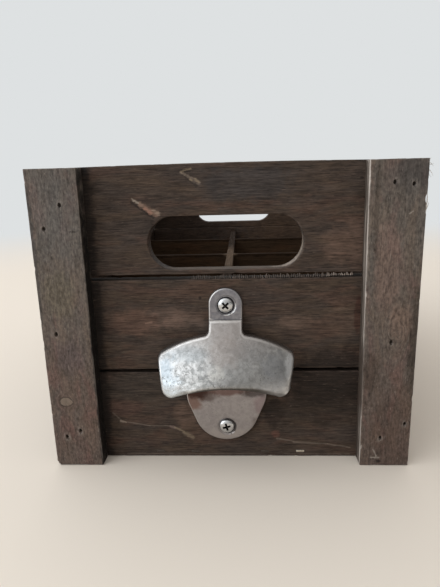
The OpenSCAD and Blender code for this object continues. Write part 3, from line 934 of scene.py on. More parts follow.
HOOD_PAINTED_REFLECTIONS = (
    ((-31.0, -152.0, 52.0), (12.0, 12.0, 14.0), (146, 158, 167), 0.6),
    ((24.0, -155.0, 58.0), (12.0, 12.0, 10.0), (146, 149, 154), 0.5),
    ((23.0, -155.0, 47.0), (15.0, 16.0, 10.5), (194, 195, 198), 0.6),
    ((-27.0, -154.0, 42.0), (21.0, 20.0, 13.5), (208, 215, 220), 0.75),
    ((3.0, -160.0, 55.0), (15.0, 12.0, 14.0), (140, 140, 139), 0.4),
    ((-1.0, -158.0, 68.0), (13.0, 12.0, 11.0), (152, 143, 138), 0.55),
    ((-20.5, -158.0, 66.0), (15.0, 12.0, 5.5), (132, 137, 140), 0.5),
    ((-5.4, -160.0, 57.0), (6.0, 9.0, 5.0), (196, 193, 188), 0.55),
    ((-15.0, -160.0, 49.0), (10.0, 12.0, 5.0), (212, 213, 212), 0.5),
    ((31.8, -152.0, 55.0), (4.2, 9.0, 13.0), (232, 234, 236), 0.75),
    ((28.4, -153.0, 47.6), (3.4, 9.0, 4.6), (220, 221, 222), 0.6),
    ((-29.0, -152.0, 42.0), (10.0, 12.0, 4.4), (240, 244, 246), 0.6),
    ((13.0, -157.0, 67.0), (14.0, 12.0, 7.0), (126, 124, 124), 0.42),
)
# Where the hood has pits, crust and fine lines: centre and radii
HOOD_PITS = ((-7.0, -157.0, 53.0), (36.0, 14.0, 11.0))
HOOD_CRUST = ((-13.0, -157.0, 54.5), (25.0, 14.0, 10.0))
HOOD_LINES = ((-9.0, -160.0, 54.0), (13.0, 8.0, 6.0))
# A painted highlight on the flat filed on the hood's lower right corner: centre and radii
FILED_FLAT_HIGHLIGHT = (((29.6, -152.0, 44.6), (3.4, 8.0, 3.4)), ((29.4, -151.0, 42.4), (3.6, 8.0, 1.7)))
# The painted shadows in the screw seats: height and reach. The upper seat has a painted highlight
# ring too.
SEAT_SHADES, SHADE_X = ((87.7, 4.75), (19.4, 4.6)), -0.6
SEAT_HIGHLIGHT_X, SEAT_HIGHLIGHT_RADIUS = -0.5, 5.1
# The depths between which the hood's colours give way to the plate's, and the step's height, where
# a highlight is painted
PLATE_DEPTHS, LEDGE_Z = (-145.05, -144.75), 80.0


def cast_metal():
    """Satin nickel on a rough casting. Painted reflections, highlights and shade stand in for the
    light on it: warmer and duller on the plate against the wall, a painted highlight along its
    edges, and painted shade where it turns under."""
    material, bench, shader = start_material("cast_opener")
    spread, tint, patch, between = bench.spread, bench.tint, bench.patch, bench.between
    crate = bench.crate_place()
    skin = bench.every("ShaderNodeGroup", node_tree=CAST_SKIN, Place=crate, Grain_Size=1.0)
    x, y, z = bench.parts(crate)

    # The hood and the tab above it, then the plate, with painted reflections and shade on each
    tone = spread(skin["Mottle"], 0.34, 0.66)
    colour = bench.blend(tone, paint(146, 145, 143), paint(178, 177, 176))
    colour = bench.patched(colour, crate, HOOD_PAINTED_REFLECTIONS)
    # A warmer grey painted over the hood's upper part and neck, a painted reflection
    colour = tint(colour, spread(z, 64.0, 76.0), (150, 142, 138), 0.7)
    on_plate = spread(y, *PLATE_DEPTHS)
    off_plate = 1.0 - on_plate
    # The plate's foot and the tab in two tones of one metal, painted reflections: the foot warmer
    # and paler, the tab darker
    low = bench.blend(tone, paint(151, 145, 145), paint(161, 156, 155))
    low = bench.patched(low, crate, PLATE_SHADOWS_AND_REFLECTIONS)
    high = bench.blend(tone, paint(124, 123, 129), paint(142, 141, 145))
    colour = bench.blend(on_plate, colour, bench.blend(spread(z, 50.0, 66.0), low, high))

    # Pits, crust and fine lines
    pits = skin["Pits"] * (patch(crate, *HOOD_PITS) * 0.6 + 0.4)
    colour = tint(colour, pits, (92, 93, 94), 0.7)
    crust = patch(crate, *HOOD_CRUST) * spread(skin["Mottle"], 0.55, 0.38)
    colour = tint(colour, crust, (112, 115, 116), 0.42)
    lines = patch(crate, *HOOD_LINES) * spread(skin["Rubs"], 0.5, 0.62)
    colour = tint(colour, lines, (206, 206, 200), 0.4)

    # Painted highlights along the rim, on the step above the hood and on the filed corner, and
    # painted shadows with a painted highlight ring in the screw seats
    # A painted highlight along the edges, brighter on the left
    rim = abs(bench.kept("edge_gap") - between(on_plate, 1.0, 0.35))
    rim = spread(rim, between(on_plate, 0.7, 0.55), 0.1) * spread(bench.kept("under"), 0.3, 0.05)
    rim = rim * spread(x, -8.0, -1.0, 1.5, between(on_plate, 0.8, 0.45))
    colour = tint(colour, rim, (214, 211, 208), 0.52)
    spot = bench.join(x, z)
    for height, reach in SEAT_SHADES:
        shade = spread(bench.distance(spot, (SHADE_X, height, 0.0)), reach, reach - 0.3)
        colour = tint(colour, shade * on_plate, (52, 50, 50), 0.75)
    # A painted highlight ring in the upper seat
    ring = abs(bench.distance(spot, (SEAT_HIGHLIGHT_X, SEAT_SHADES[0][0], 0.0)) - SEAT_HIGHLIGHT_RADIUS)
    ring = spread(ring, 0.28, 0.1) * spread(x - z, -85.2, -83.0)
    colour = tint(colour, ring * on_plate, (230, 230, 228), 0.9)
    # A painted highlight on the step above the hood
    ledge_highlight = spread(abs(z - LEDGE_Z), 0.75, 0.35) * off_plate
    colour = tint(colour, ledge_highlight, (208, 204, 200), 0.55)
    for centre, radius in FILED_FLAT_HIGHLIGHT:
        colour = tint(colour, patch(crate, centre, radius), (250, 250, 250), 0.8)

    # Painted shade on the underside, which starts at the arch
    arch = bench.distance(bench.join(x + 1.1, z), (0.0, OPENER_Z + ARCH_Z - ARCH_R, 0.0)) - ARCH_R
    arch = arch - (spread(x, -31.0, -12.0, -1.2, 1.5) + spread(x, 0.0, 18.0, 0.0, 1.1))
    arch = spread(arch, 0.6, -0.7) * off_plate
    shade = spread(bench.kept("under"), 0.3, 0.8) * spread(x, -24.0, -12.0, 0.05, 1.0)
    under = bench.most(arch, shade) * spread(x, 15.0, 26.0, 1.0, 0.6)
    colour = tint(colour, under, (62, 56, 50), 0.86)
    rough = spread(skin["Mottle"], 0.35, 0.65, 0.42, 0.34)
    bench.feed(shader, Base_Color=colour, Metallic=1.0, Roughness=rough)
    height = skin["Mottle"] * 0.55 - pits * 0.8 + skin["Wrinkles"] * 0.14 + skin["Rubs"] * 0.14
    bench.relief(shader, height, 0.5, 0.3 * MM)
    return material


# The one floor staple that was rubbed bare
BARE_STAPLE = (39.0, SLAT_Y, 3.0)


def bright_metal(name, low, high, roughness, stained=False):
    """A small steel fastener, a little uneven in colour and polish, with painted shade deep in its
    recesses. Stain may cover all but the one staple that was rubbed bare."""
    material, bench, shader = start_material(name)
    crate, spread = bench.crate_place(), bench.spread
    skin = bench.every("ShaderNodeGroup", node_tree=CAST_SKIN, Place=crate, Grain_Size=0.35)
    colour = bench.blend(skin["Mottle"], paint(*low), paint(*high))
    # Painted shade deep in a screw's cross recess
    sunk = spread(bench.kept("sunk") * 1000.0, 0.05, 0.45, 0.0, 0.97)
    colour = bench.blend(sunk, colour, paint(10, 9, 8))
    metallic = 1.0
    if stained:
        cover = spread(bench.distance(crate, BARE_STAPLE), 3.4, 3.8)
        cover = cover * spread(skin["Rubs"], 0.2, 0.5, 0.8, 1.0)
        colour = bench.blend(cover, colour, paint(58, 48, 40))
        metallic = 1.0 - cover
    rough = spread(skin["Rubs"], 0.3, 0.7, roughness - 0.08, roughness + 0.1)
    bench.feed(shader, Base_Color=colour, Metallic=metallic, Roughness=rough)
    bench.relief(shader, skin["Rubs"], 0.3, 0.05 * MM)
    return material


def torn_wood(name, low, high):
    """Bare fibres torn out of a stained board."""
    material, bench, shader = start_material(name)
    streaks = bench.noise(bench.crate_place() / (1.2, 1.2, 3.0), 1.0, 2.0, 0.6)
    colour = bench.blend(bench.spread(streaks, 0.35, 0.65), paint(*low), paint(*high))
    bench.feed(shader, Base_Color=colour, Roughness=0.8)
    bench.relief(shader, streaks, 0.4, 0.1 * MM)
    return material


opener_metal = cast_metal()
screw_metal = bright_metal("opener_screw_steel", (178, 179, 180), (220, 221, 222), 0.24)
brad_metal = bright_metal("brad_steel", (24, 21, 19), (54, 49, 45), 0.5)
staple_metal = bright_metal("staple_steel", (176, 166, 148), (232, 226, 214), 0.32, stained=True)
seam_wood = torn_wood("torn_seam_fibres", (70, 61, 55), (104, 92, 84))
bare_seam_wood = torn_wood("bare_seam_fibres", (112, 100, 92), (152, 138, 128))
splinter_wood = torn_wood("splinter_wood", (150, 142, 132), (206, 200, 192))

# Geometry trees

# Rows of points that crowd together near a board's arrises, and how far apart they are there
CROWD, CROWD_STEP = 3.0, 0.3 * MM
# How many sides a brad has, and the pocket that its head stands in
BRAD_SIDES, POCKET_SIDES = 12, 14


def build(name, tree, values, blank=None):
    """Runs a geometry tree once and keeps its result as a plain mesh."""
    piece = add_object(name, blank or bpy.data.meshes.new(name))
    maker = piece.modifiers.new(tree.name, "NODES")
    maker.node_group = tree
    inputs = {s.name: s.identifier for s in tree.interface.items_tree if s.in_out == "INPUT"}
    for label, value in values.items():
        maker[inputs[label]] = value
    graph = bpy.context.evaluated_depsgraph_get()
    mesh = bpy.data.meshes.new_from_object(
        piece.evaluated_get(graph), preserve_all_data_layers=True, depsgraph=graph
    )
    piece.modifiers.remove(maker)
    piece.data = mesh
    mesh.name = name
    return piece


def helper_points(name, points, **attributes):
    """A hidden mesh of loose points for a tree to read, with their numbers or vectors by name."""
    mesh = bpy.data.meshes.new(name)
    mesh.from_pydata([tuple(p) for p in points], [], [])
    for label, values in attributes.items():
        values = np.array(values, np.float32)
        vectors = values.ndim > 1
        attribute = mesh.attributes.new(label, "FLOAT_VECTOR" if vectors else "FLOAT", "POINT")
        attribute.data.foreach_set("vector" if vectors else "value", values.ravel())
    return add_object(name, mesh)


def keep_value(mesh, label, values):
    """Keeps a number for each point of a mesh under a name."""
    attribute = mesh.attributes.new(label, "FLOAT", "POINT")
    attribute.data.foreach_set("value", np.asarray(values, np.float32))


def face_outwards(mesh):
    """Drops a closed mesh's loose points, and turns its faces outwards."""
    work = bmesh.new()
    work.from_mesh(mesh)
    loose = [v for v in work.verts if not v.link_faces]
    bmesh.ops.delete(work, geom=loose, context="VERTS")
    if work.calc_volume(signed=True) < 0:
        bmesh.ops.reverse_faces(work, faces=work.faces)
    work.to_mesh(mesh)
    work.free()


def drop(*helpers):
    """Removes helper objects and their meshes. None stands for no helper."""
    for helper in helpers:
        if helper is not None:
            mesh = helper.data
            bpy.data.objects.remove(helper)
            bpy.data.meshes.remove(mesh)


def board_tree():
    """A sawn board, lying along X with its best face up, then carried to its place.
    A blank of its own may stand in for the plain board, as for one with a handle hole."""
    bench = start_solid(
        "sawn_board",
        {
            "Blank": "Geometry",
            "Use Blank": False,
            "Size": (0.1, 0.05, 0.009),
            "Spacing": 0.0015,
            "Arris Radius": 0.0008,
            "Nick Depth": 0.0007,
            "Unevenness": 0.00022,
            "Seed": 1.0,
            "Lean": 0.0,
            "Flare": 0.0,
            "Bow": 0.0,
            "Nails": "Object",
            "Cuts": "Object",
            "Pocket Depth": 0.0013,
            "Place": (0.0, 0.0, 0.0),
            "Turn": (0.0, 0.0, 0.0),
            "Wood": "Material",
        },
        "Board",
    )
    given, spread, crowd = bench.given, bench.spread, (CROWD,) * 3

    def thrice(value):
        return bench.join(value, value, value)

    # Rows of points crowd together near the arrises
    half = given["Size"] * 0.5
    steps = bench.calc("CEIL", given["Size"] / thrice(given["Spacing"])) + (2 * CROWD,) * 3
    plain = bench.put("GeometryNodeMeshCube", given["Size"], *bench.parts(steps + (1.0, 1.0, 1.0)))
    spot = bench.put("GeometryNodeInputPosition")
    row = ((1.0, 1.0, 1.0) - abs(spot) / half) * (steps * 0.5)
    rest = bench.most(row - crowd, (0.0, 0.0, 0.0))
    pitch = (half - (CROWD * CROWD_STEP,) * 3) / (steps * 0.5 - crowd)
    inset = bench.least(row, crowd) * CROWD_STEP + rest * pitch
    plain = bench.reshaped(plain, Position=bench.calc("SIGN", spot) * (half - inset))
    board = bench.switch(given["Use Blank"], plain, given["Blank"], "GEOMETRY")

    # Distance to the nearest arris, kept for the worn colour
    gaps = bench.parts(half - abs(spot))
    pairs = [bench.most(gaps[a], gaps[b]) for a, b in ((0, 1), (1, 2), (0, 2))]
    arris = bench.least(bench.least(pairs[0], pairs[1]), pairs[2])
    rim = bench.every("GeometryNodeInputNamedAttribute", "rim", data_type="FLOAT")
    arris = bench.least(arris, bench.switch(rim["Exists"], 1.0, rim["Attribute"]))
    board = bench.stored(board, "arris", arris)

    # Eased arrises, nicks along them, and an uneven face
    place = spot + thrice(given["Seed"]) * tuple(s * MM for s in SEED_SHIFT)
    ease = spread(bench.noise(place, 70.0, 2.0), 0.3, 0.7, 0.5, 1.5, kind="LINEAR")
    radius = given["Arris Radius"] * ease
    core = half - thrice(radius)
    inner = bench.most(bench.least(spot, core), core * -1.0)
    lean = spot - inner
    face = bench.calc("NORMALIZE", lean)
    on_hole = bench.length(lean) < 0.01 * MM
    eased = inner + face * bench.least(radius, bench.length(lean))
    eased = bench.put("ShaderNodeMix", on_hole, eased, spot, data_type="VECTOR")
    nick = spread(bench.noise(place * (190.0, 260.0, 260.0), 1.0, 2.0, 0.6), 0.56, 0.74)
    nick = nick * spread(arris, 2.2 * MM, 0.0) * given["Nick Depth"]
    swell = bench.noise(place * (14.0, 75.0, 75.0), 1.0, 3.0, 0.55) - 0.5
    low = nick + swell * given["Unevenness"]
    board = bench.reshaped(board, Position=eased - face * low)

    # A board may lean sideways towards its far end, be sawn wider there, or bow along one edge
    far, wide, _ = bench.parts(spot / (half * 2.0) + (0.5, 0.5, 0.0))
    bow = given["Bow"] * ((1.0 - far) * 4.0)
    aside = ((given["Flare"] + bow) * wide + given["Lean"]) * far
    board = bench.reshaped(board, Offset=bench.join(0.0, aside, 0.0))

    # Pockets over the brads, longer along the grain, and any sawn slots
    nails, depth = bench.shape_of(given["Nails"]), given["Pocket Depth"]
    bit = bench.put("GeometryNodeMeshCone", POCKET_SIDES, 1, 1, 1.05 * MM, 0.78 * MM, depth)
    bit = bench.moved(bit, bench.up(depth * -0.86))
    stretch = bench.any_vector((1.15, 0.82, 1.0), (1.6, 1.02, 1.0), 7)
    bits = bench.copies(nails, bit, Scale=stretch)
    board = bench.cut(board, bits, bench.shape_of(given["Cuts"]))
    near = bench.every("GeometryNodeProximity", nails, target_element="POINTS")
    board = bench.stored(board, "nail_gap", bench.switch(near["Is Valid"], 1.0, near["Distance"]))
    board = bench.stored(board, "grain", place, "FLOAT_VECTOR")
    board = bench.shaded(board, 0.72)
    turn = bench.put("FunctionNodeEulerToRotation", given["Turn"])
    return bench.hand_over(bench.moved(board, given["Place"], turn), given["Wood"])


def brad_tree():
    """Brads with small flat heads, driven in at the given points."""
    bench = start_solid(
        "driven_brads",
        {
            "Heads": "Object",
            "Head Radius": 0.0009,
            "Head Thickness": 0.0006,
            "Shank Radius": 0.0006,
            "Length": 0.0145,
            "Steel": "Material",
        },
        "Brads",
    )
    given = bench.given
    thick, length = given["Head Thickness"], given["Length"]
    head, shank = given["Head Radius"], given["Shank Radius"]
    x, y, z = bench.parts(bench.put("GeometryNodeInputPosition"))
    ring = (z + 0.5) * 4.0
    radius = bench.pick(ring, shank * 0.3, shank, shank, head, head * 0.86)
    height = bench.pick(ring, length * -1.0, thick - length, thick * -1.0, thick * -0.25, 0.0)
    one = bench.put("GeometryNodeMeshCylinder", BRAD_SIDES, 4, 1, 1.0, 1.0)
    one = bench.reshaped(one, Position=bench.join(x * radius, y * radius, height))
    brads = bench.copies(bench.shape_of(given["Heads"]), one, Rotation=bench.driven_way())
    return bench.hand_over(brads, given["Steel"])


def staple_tree():
    """Wire staples whose crowns lie flush, each at a point and pointing along its drive."""
    bench = start_solid(
        "wire_staples",
        {
            "Crowns": "Object",
            "Width": 0.0052,
            "Leg Length": 0.017,
            "Wire Width": 0.0012,
            "Wire Thickness": 0.0006,
            "Bend Radius": 0.0006,
            "Steel": "Material",
        },
        "Staples",
    )
    given = bench.given
    thick = given["Wire Thickness"]
    reach = (given["Width"] - thick) * 0.5
    line = bench.put("GeometryNodeMeshLine", 4, (0.0, 0.0, 0.0), (1.0, 0.0, 0.0))
    index = bench.put("GeometryNodeInputIndex")
    side = bench.switch(index > 1.5, reach * -1.0, reach)
    deep = bench.switch(abs(index - 1.5) < 1.0, given["Leg Length"] * -1.0, thick * -0.5)
    line = bench.reshaped(line, Position=bench.join(side, 0.0, deep))
    wire = bench.put("GeometryNodeMeshToCurve", line)
    wire = bench.rounded(wire, given["Bend Radius"], 4)
    section = bench.put("GeometryNodeCurvePrimitiveQuadrilateral", thick, given["Wire Width"])
    section = bench.rounded(section, 0.15 * MM, 2)
    one = bench.put("GeometryNodeCurveToMesh", wire, section, Fill_Caps=True)
    staples = bench.copies(bench.shape_of(given["Crowns"]), one, Rotation=bench.driven_way())
    return bench.hand_over(staples, given["Steel"])


def screw_tree():
    """A domed screw with a cross recess, its head's seat at Place, standing along Drive."""
    bench = start_solid(
        "domed_screw",
        {
            "Head Radius": 0.0039,
            "Head Height": 0.0022,
            "Edge Height": 0.0008,
            "Shank Radius": 0.00175,
            "Shank Length": 0.009,
            "Recess Length": 0.0049,
            "Recess Width": 0.0013,
            "Recess Depth": 0.0015,
            "Recess Turn": 0.0,
            "Place": (0.0, 0.0, 0.0),
            "Drive": (0.0, -1.0, 0.0),
            "Steel": "Material",
        },
        "Screw",
    )
    given, spread, calc = bench.given, bench.spread, bench.calc
    high, edge = given["Head Height"], given["Edge Height"]

    # A sheet bent round into a flat base, an upright edge and a dome
    sheet = bench.put("GeometryNodeMeshGrid", 1.0, 1.0, 73, 33)
    x, y, z = bench.parts(bench.put("GeometryNodeInputPosition"))
    angle, share = x * (2 * math.pi), y + 0.5
    base = spread(share, 0.0, 0.15, kind="LINEAR")
    wall = spread(share, 0.15, 0.35, kind="LINEAR")
    dome = spread(share, 0.35, 1.0, 0.0, math.pi / 2, kind="LINEAR")
    ring = given["Head Radius"] * (base * calc("COSINE", dome))
    rise = high - edge
    height = edge * wall + rise * calc("SINE", dome)
    spot = bench.join(ring * calc("COSINE", angle), ring * calc("SINE", angle), height)
    head = bench.reshaped(sheet, Position=spot)
    head = bench.put("GeometryNodeMergeByDistance", head, None, 0.005 * MM)

    # The cross recess, and how far its walls lie below the dome
    length, width, depth = (given["Recess " + n] for n in ("Length", "Width", "Depth"))
    for quarter in (0.0, math.pi / 2):
        bit = bench.put("GeometryNodeMeshCone", 4, 1, 1, 0.74, 0.5, 1.0)
        bit = bench.moved(bit, None, (0.0, 0.0, math.pi / 4))
        bit = bench.moved(bit, None, None, bench.join(length, width, depth * 1.6))
        turn = bench.put("FunctionNodeEulerToRotation", bench.up(given["Recess Turn"] + quarter))
        head = bench.cut(head, bench.moved(bit, bench.up(high - depth), turn))
    out = bench.length(bench.join(x, y, 0.0)) / given["Head Radius"]
    dome = edge + rise * calc("SQRT", bench.most(1.0 - out * out, 0.0))
    head = bench.stored(head, "sunk", (dome - z) * (out < 0.9))
    shank = given["Shank Length"]
    pin = bench.put("GeometryNodeMeshCylinder", 20, 1, 1, given["Shank Radius"], shank)
    whole = bench.fuse(head, bench.moved(pin, bench.up(shank * -0.495)))
    whole = bench.moved(bench.shaded(whole, 0.6), given["Place"], bench.aimed(given["Drive"]))
    return bench.hand_over(whole, given["Steel"])


def splinter_tree():
    """Thin curved splinters. Each starts at a point, and reach and bend say where it goes."""
    takes = {"Roots": "Object", "Thickness": 0.0004, "Wood": "Material"}
    bench = start_solid("loose_splinters", takes, "Splinters")
    given, steps = bench.given, 9
    line = bench.put("GeometryNodeMeshLine", steps, (0.0, 0.0, 0.0), (1.0, 0.0, 0.0))
    line = bench.stored(line, "share", bench.put("GeometryNodeInputIndex") / (steps - 1.0))
    lines = bench.copies(bench.shape_of(given["Roots"]), line, Scale=(0.0, 0.0, 0.0))
    share = bench.read("share")
    reach, bend = bench.read("reach", "FLOAT_VECTOR"), bench.read("bend", "FLOAT_VECTOR")
    lines = bench.reshaped(lines, Offset=reach * share + bend * (share * (1.0 - share)))
    paths = bench.put("GeometryNodeMeshToCurve", lines)
    section = bench.put("GeometryNodeCurvePrimitiveCircle", 5, Radius=1.0, mode="RADIUS")
    thick = bench.calc("POWER", 1.04 - share, 0.6) * (given["Thickness"] * bench.read("heft"))
    splinters = bench.put(
        "GeometryNodeCurveToMesh", paths, section, Scale=thick, Fill_Caps=True
    )
    return bench.hand_over(splinters, given["Wood"])


def torn_edge_tree():
    """A row of small chips that a blunt saw tore up along an arris, from Start to End."""
    bench = start_solid(
        "torn_edge",
        {
            "Start": (0.0, 0.0, 0.0),
            "End": (0.1, 0.0, 0.0),
            "Count": 40,
            "Low": (0.0003, 0.0006, 0.0006),
            "High": (0.0007, 0.0010, 0.0018),
            "Seed": 3,
            "Wood": "Material",
        },
        "Chips",
    )
    given = bench.given
    ends = given["Count"], given["Start"], given["End"]
    row = bench.put("GeometryNodeMeshLine", *ends, mode="END_POINTS")
    chip = bench.put("GeometryNodeMeshCone", 5, 1, 1, 0.45, 1.0, 1.0)
    size = bench.any_vector(given["Low"], given["High"], given["Seed"])
    lean = bench.any_vector((-0.15, -0.35, -0.6), (0.25, 0.35, 0.6), given["Seed"])
    turn = bench.put("FunctionNodeEulerToRotation", lean)
    return bench.hand_over(bench.copies(row, chip, Rotation=turn, Scale=size), given["Wood"])


def casting_tree():
    """Fuses three more solids with the tree's own mesh, and shades the result."""
    others = ("First", "Second", "Third")
    takes = {"Blank": "Geometry", **dict.fromkeys(others, "Object"), "Metal": "Material"}
    bench = start_solid("fused_casting", takes, "Casting")
    given = bench.given
    whole = bench.fuse(given["Blank"], *[bench.shape_of(given[label]) for label in others])
    under = bench.parts(bench.put("GeometryNodeInputNormal"))[2] * -1.0
    whole = bench.shaded(bench.stored(whole, "under", under), 0.9)
    return bench.hand_over(whole, given["Metal"])


SAWN_BOARD = board_tree()
DRIVEN_BRADS = brad_tree()
WIRE_STAPLES = staple_tree()
DOMED_SCREW = screw_tree()
LOOSE_SPLINTERS = splinter_tree()
TORN_EDGE = torn_edge_tree()
FUSED_CASTING = casting_tree()

# Fasteners


def islands(node):
    """The separate solids of a CAD node, each as an array of its points."""
    work = bmesh.new()
    work.from_mesh(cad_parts[node].data)
    bmesh.ops.remove_doubles(work, verts=work.verts, dist=1e-6)
    found, seen = [], set()
    for first in work.verts:
        if first in seen:
            continue
        seen.add(first)
        heap, solid = [first], []
        while heap:
            vert = heap.pop()
            solid.append(vert.co[:])
            for edge in vert.link_edges:
                other = edge.other_vert(vert)
                if other not in seen:
                    seen.add(other)
                    heap.append(other)
        found.append(np.array(solid))
    work.free()
    return found


# Points this close to a fastener's end belong to its end face
END_PLAY = 0.3 * MM


def driven(points):
    """Where a fastener's head is and which way it faces, from its solid's points."""
    low, high = points.min(0), points.max(0)
    axis = int(np.argmax(high - low))
    centre = (low + high) / 2
    ends = []
    for limit in (low[axis], high[axis]):
        near = points[abs(points[:, axis] - limit) < END_PLAY]
        ends.append(np.ptp(np.delete(near, axis, 1), axis=0).sum())
    facing = 1 if ends[1] > ends[0] else -1
    head = centre.copy()
    head[axis] = high[axis] if facing > 0 else low[axis]
    drive = np.zeros(3)
    drive[axis] = facing
    return head, drive


def finish_piece(piece, slot, *nodes):
    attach(piece, "root")
    if nodes:
        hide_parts(*nodes)


brad_heads = []
for node in sorted(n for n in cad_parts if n.endswith("_brads")):
    solids = islands(node)
    heads, drives = zip(*(driven(s) for s in solids))
    brad_heads += list(zip(heads, drives))
    length = float(np.ptp(solids[0], axis=0).max())
    helper = helper_points("heads", heads, drive=drives)
    values = {"Heads": helper, "Length": length, "Steel": brad_metal}
    piece = build(node + "_driven", DRIVEN_BRADS, values)
    drop(helper)
    finish_piece(piece, "brad_steel", node)

# How far the crowns of the floor staples stand proud of the CAD's
STAPLE_PROUD = 0.18 * MM

for node, facing in (("front_floor_staples", -1), ("back_floor_staples", 1)):
    solids = islands(node)
    crowns = []
    for solid in solids:
        low, high = solid.min(0), solid.max(0)
        proud = (low[1] if facing < 0 else high[1]) + facing * STAPLE_PROUD
        crowns.append(((low[0] + high[0]) / 2, proud, (low[2] + high[2]) / 2))
    helper = helper_points("crowns", crowns, drive=[(0, facing, 0)] * len(crowns))
    legs = float(np.ptp(solids[0][:, 1]))
    values = {"Crowns": helper, "Leg Length": legs, "Steel": staple_metal}
    piece = build(node + "_wire", WIRE_STAPLES, values)
    drop(helper)
    finish_piece(piece, "staple_steel", node)

# Boards

X, Y, Z = Vector((1, 0, 0)), Vector((0, 1, 0)), Vector((0, 0, 1))

WOODS = {
    "stained_end_wood": end_wood,
    "stained_side_wood": side_wood,
    "stained_batten_wood": batten_wood,
    "stained_inner_wood": inner_wood,
}

# Each kind of board: its wood; which way it lies, along its grain, across it and out through
# its best face; its points' spacing, arris radius and nick depth in millimetres
BOARD_KINDS = {
    "front_slat": ("stained_end_wood", (X, Z, -Y), 1.0, 0.45, 0.5),
    "back_slat": ("stained_end_wood", (-X, Z, Y), 1.4, 0.7, 0.5),
    "left_slat": ("stained_side_wood", (-Y, Z, -X), 1.6, 0.45, 0.5),
    "right_slat": ("stained_side_wood", (Y, Z, X), 1.6, 0.45, 0.5),
    "front_batten": ("stained_batten_wood", (Z, -X, -Y), 0.9, 0.3, 0.3),
    "back_batten": ("stained_batten_wood", (Z, X, Y), 1.2, 0.3, 0.3),
    "floor_board": ("stained_inner_wood", (Y, -X, Z), 2.4, 0.45, 0.5),
    "long_divider": ("stained_inner_wood", (Y, Z, X), 2.0, 0.45, 0.5),
    "cross_divider": ("stained_inner_wood", (X, Z, -Y), 2.0, 0.45, 0.5),
}
# How far sawn faces wander, in millimetres
UNEVENNESS = 0.24

COURSES, SIDES, ENDS = ("bottom", "middle", "top"), ("left", "right"), ("front", "back")
# Every board with its kind. Its number in this list, from 1, is its seed.
BOARDS = (
    *((f"{wall}_{course}_slat", f"{wall}_slat") for wall in ENDS + SIDES for course in COURSES),
    *((f"{end}_{side}_batten", f"{end}_batten") for end in ENDS for side in SIDES),
    *((f"{place}_floor_board", "floor_board") for place in ("left", "middle", "right")),
    ("long_divider", "long_divider"),
    *((f"{end}_cross_divider", "cross_divider") for end in ENDS),
)

# How far boards grow down and up, in millimetres. The front slats narrow their seams, and the
# back slats close theirs, because no light shows there in the photograph.
GROWTH = {
    "front_bottom_slat": (0.0, 0.4),
    "front_middle_slat": (0.4, 0.2),
    "front_top_slat": (0.2, 0.3),
    "back_bottom_slat": (0.0, 1.3),
    "back_middle_slat": (1.3, 1.6),
    "back_top_slat": (1.6, 0.0),
    **{f"{end}_{side}_batten": (0.0, 0.2) for end in ENDS for side in SIDES},
}

# How far some front boards are out of true, in millimetres
UNTRUE = {
    "front_left_batten": {"Lean": 0.8},
    "front_right_batten": {"Lean": -0.2, "Flare": 1.4},
    "front_top_slat": {"Bow": 0.8},
}

# Chips knocked out of the front battens, as centres and radii in millimetres
CHIPS = {
    "front_right_batten": (
        ((96.2, -151.3, 139.8), (1.9, 3.4, 3.2)),
        ((96.2, -151.5, 135.2), (1.5, 3.0, 4.4)),
        ((95.9, -151.8, 21.8), (1.1, 2.4, 3.0)),
        ((95.5, -152.0, 1.0), (1.0, 2.0, 2.2)),
    ),
    "front_left_batten": (
        ((-95.6, -151.9, 0.0), (2.4, 2.6, 2.8)),
        ((-95.9, -151.8, 70.0), (1.2, 1.8, 3.4)),
    ),
}

# The handle holes. The far one sits higher than the near one.
HANDLE_W, HANDLE_H, HANDLE_Z = 79.0 * MM, 27.0 * MM, 119.8 * MM
HANDLE_RISE = {"front_top_slat": 0.0, "back_top_slat": 2.4 * MM}
RIM_RADIUS, RIM_SHARE = 0.55 * MM, 0.35
# Where rows of points lie near an edge, in millimetres, when there is at least ROOMY for them
NEAR_EDGE, ROOMY = np.array([0.0, 0.25, 0.5, 0.8, 1.2]), 5.0 * MM


def edge_marks(length, step):
    """Places along a length, close together near both its ends."""
    near = NEAR_EDGE * MM * min(1.0, length / ROOMY)
    count = max(1, round((length - 2 * near[-1]) / step))
    inside = np.linspace(near[-1], length - near[-1], count + 1)[1:-1]
    return np.array([*near, *inside, *(length - near[::-1])])


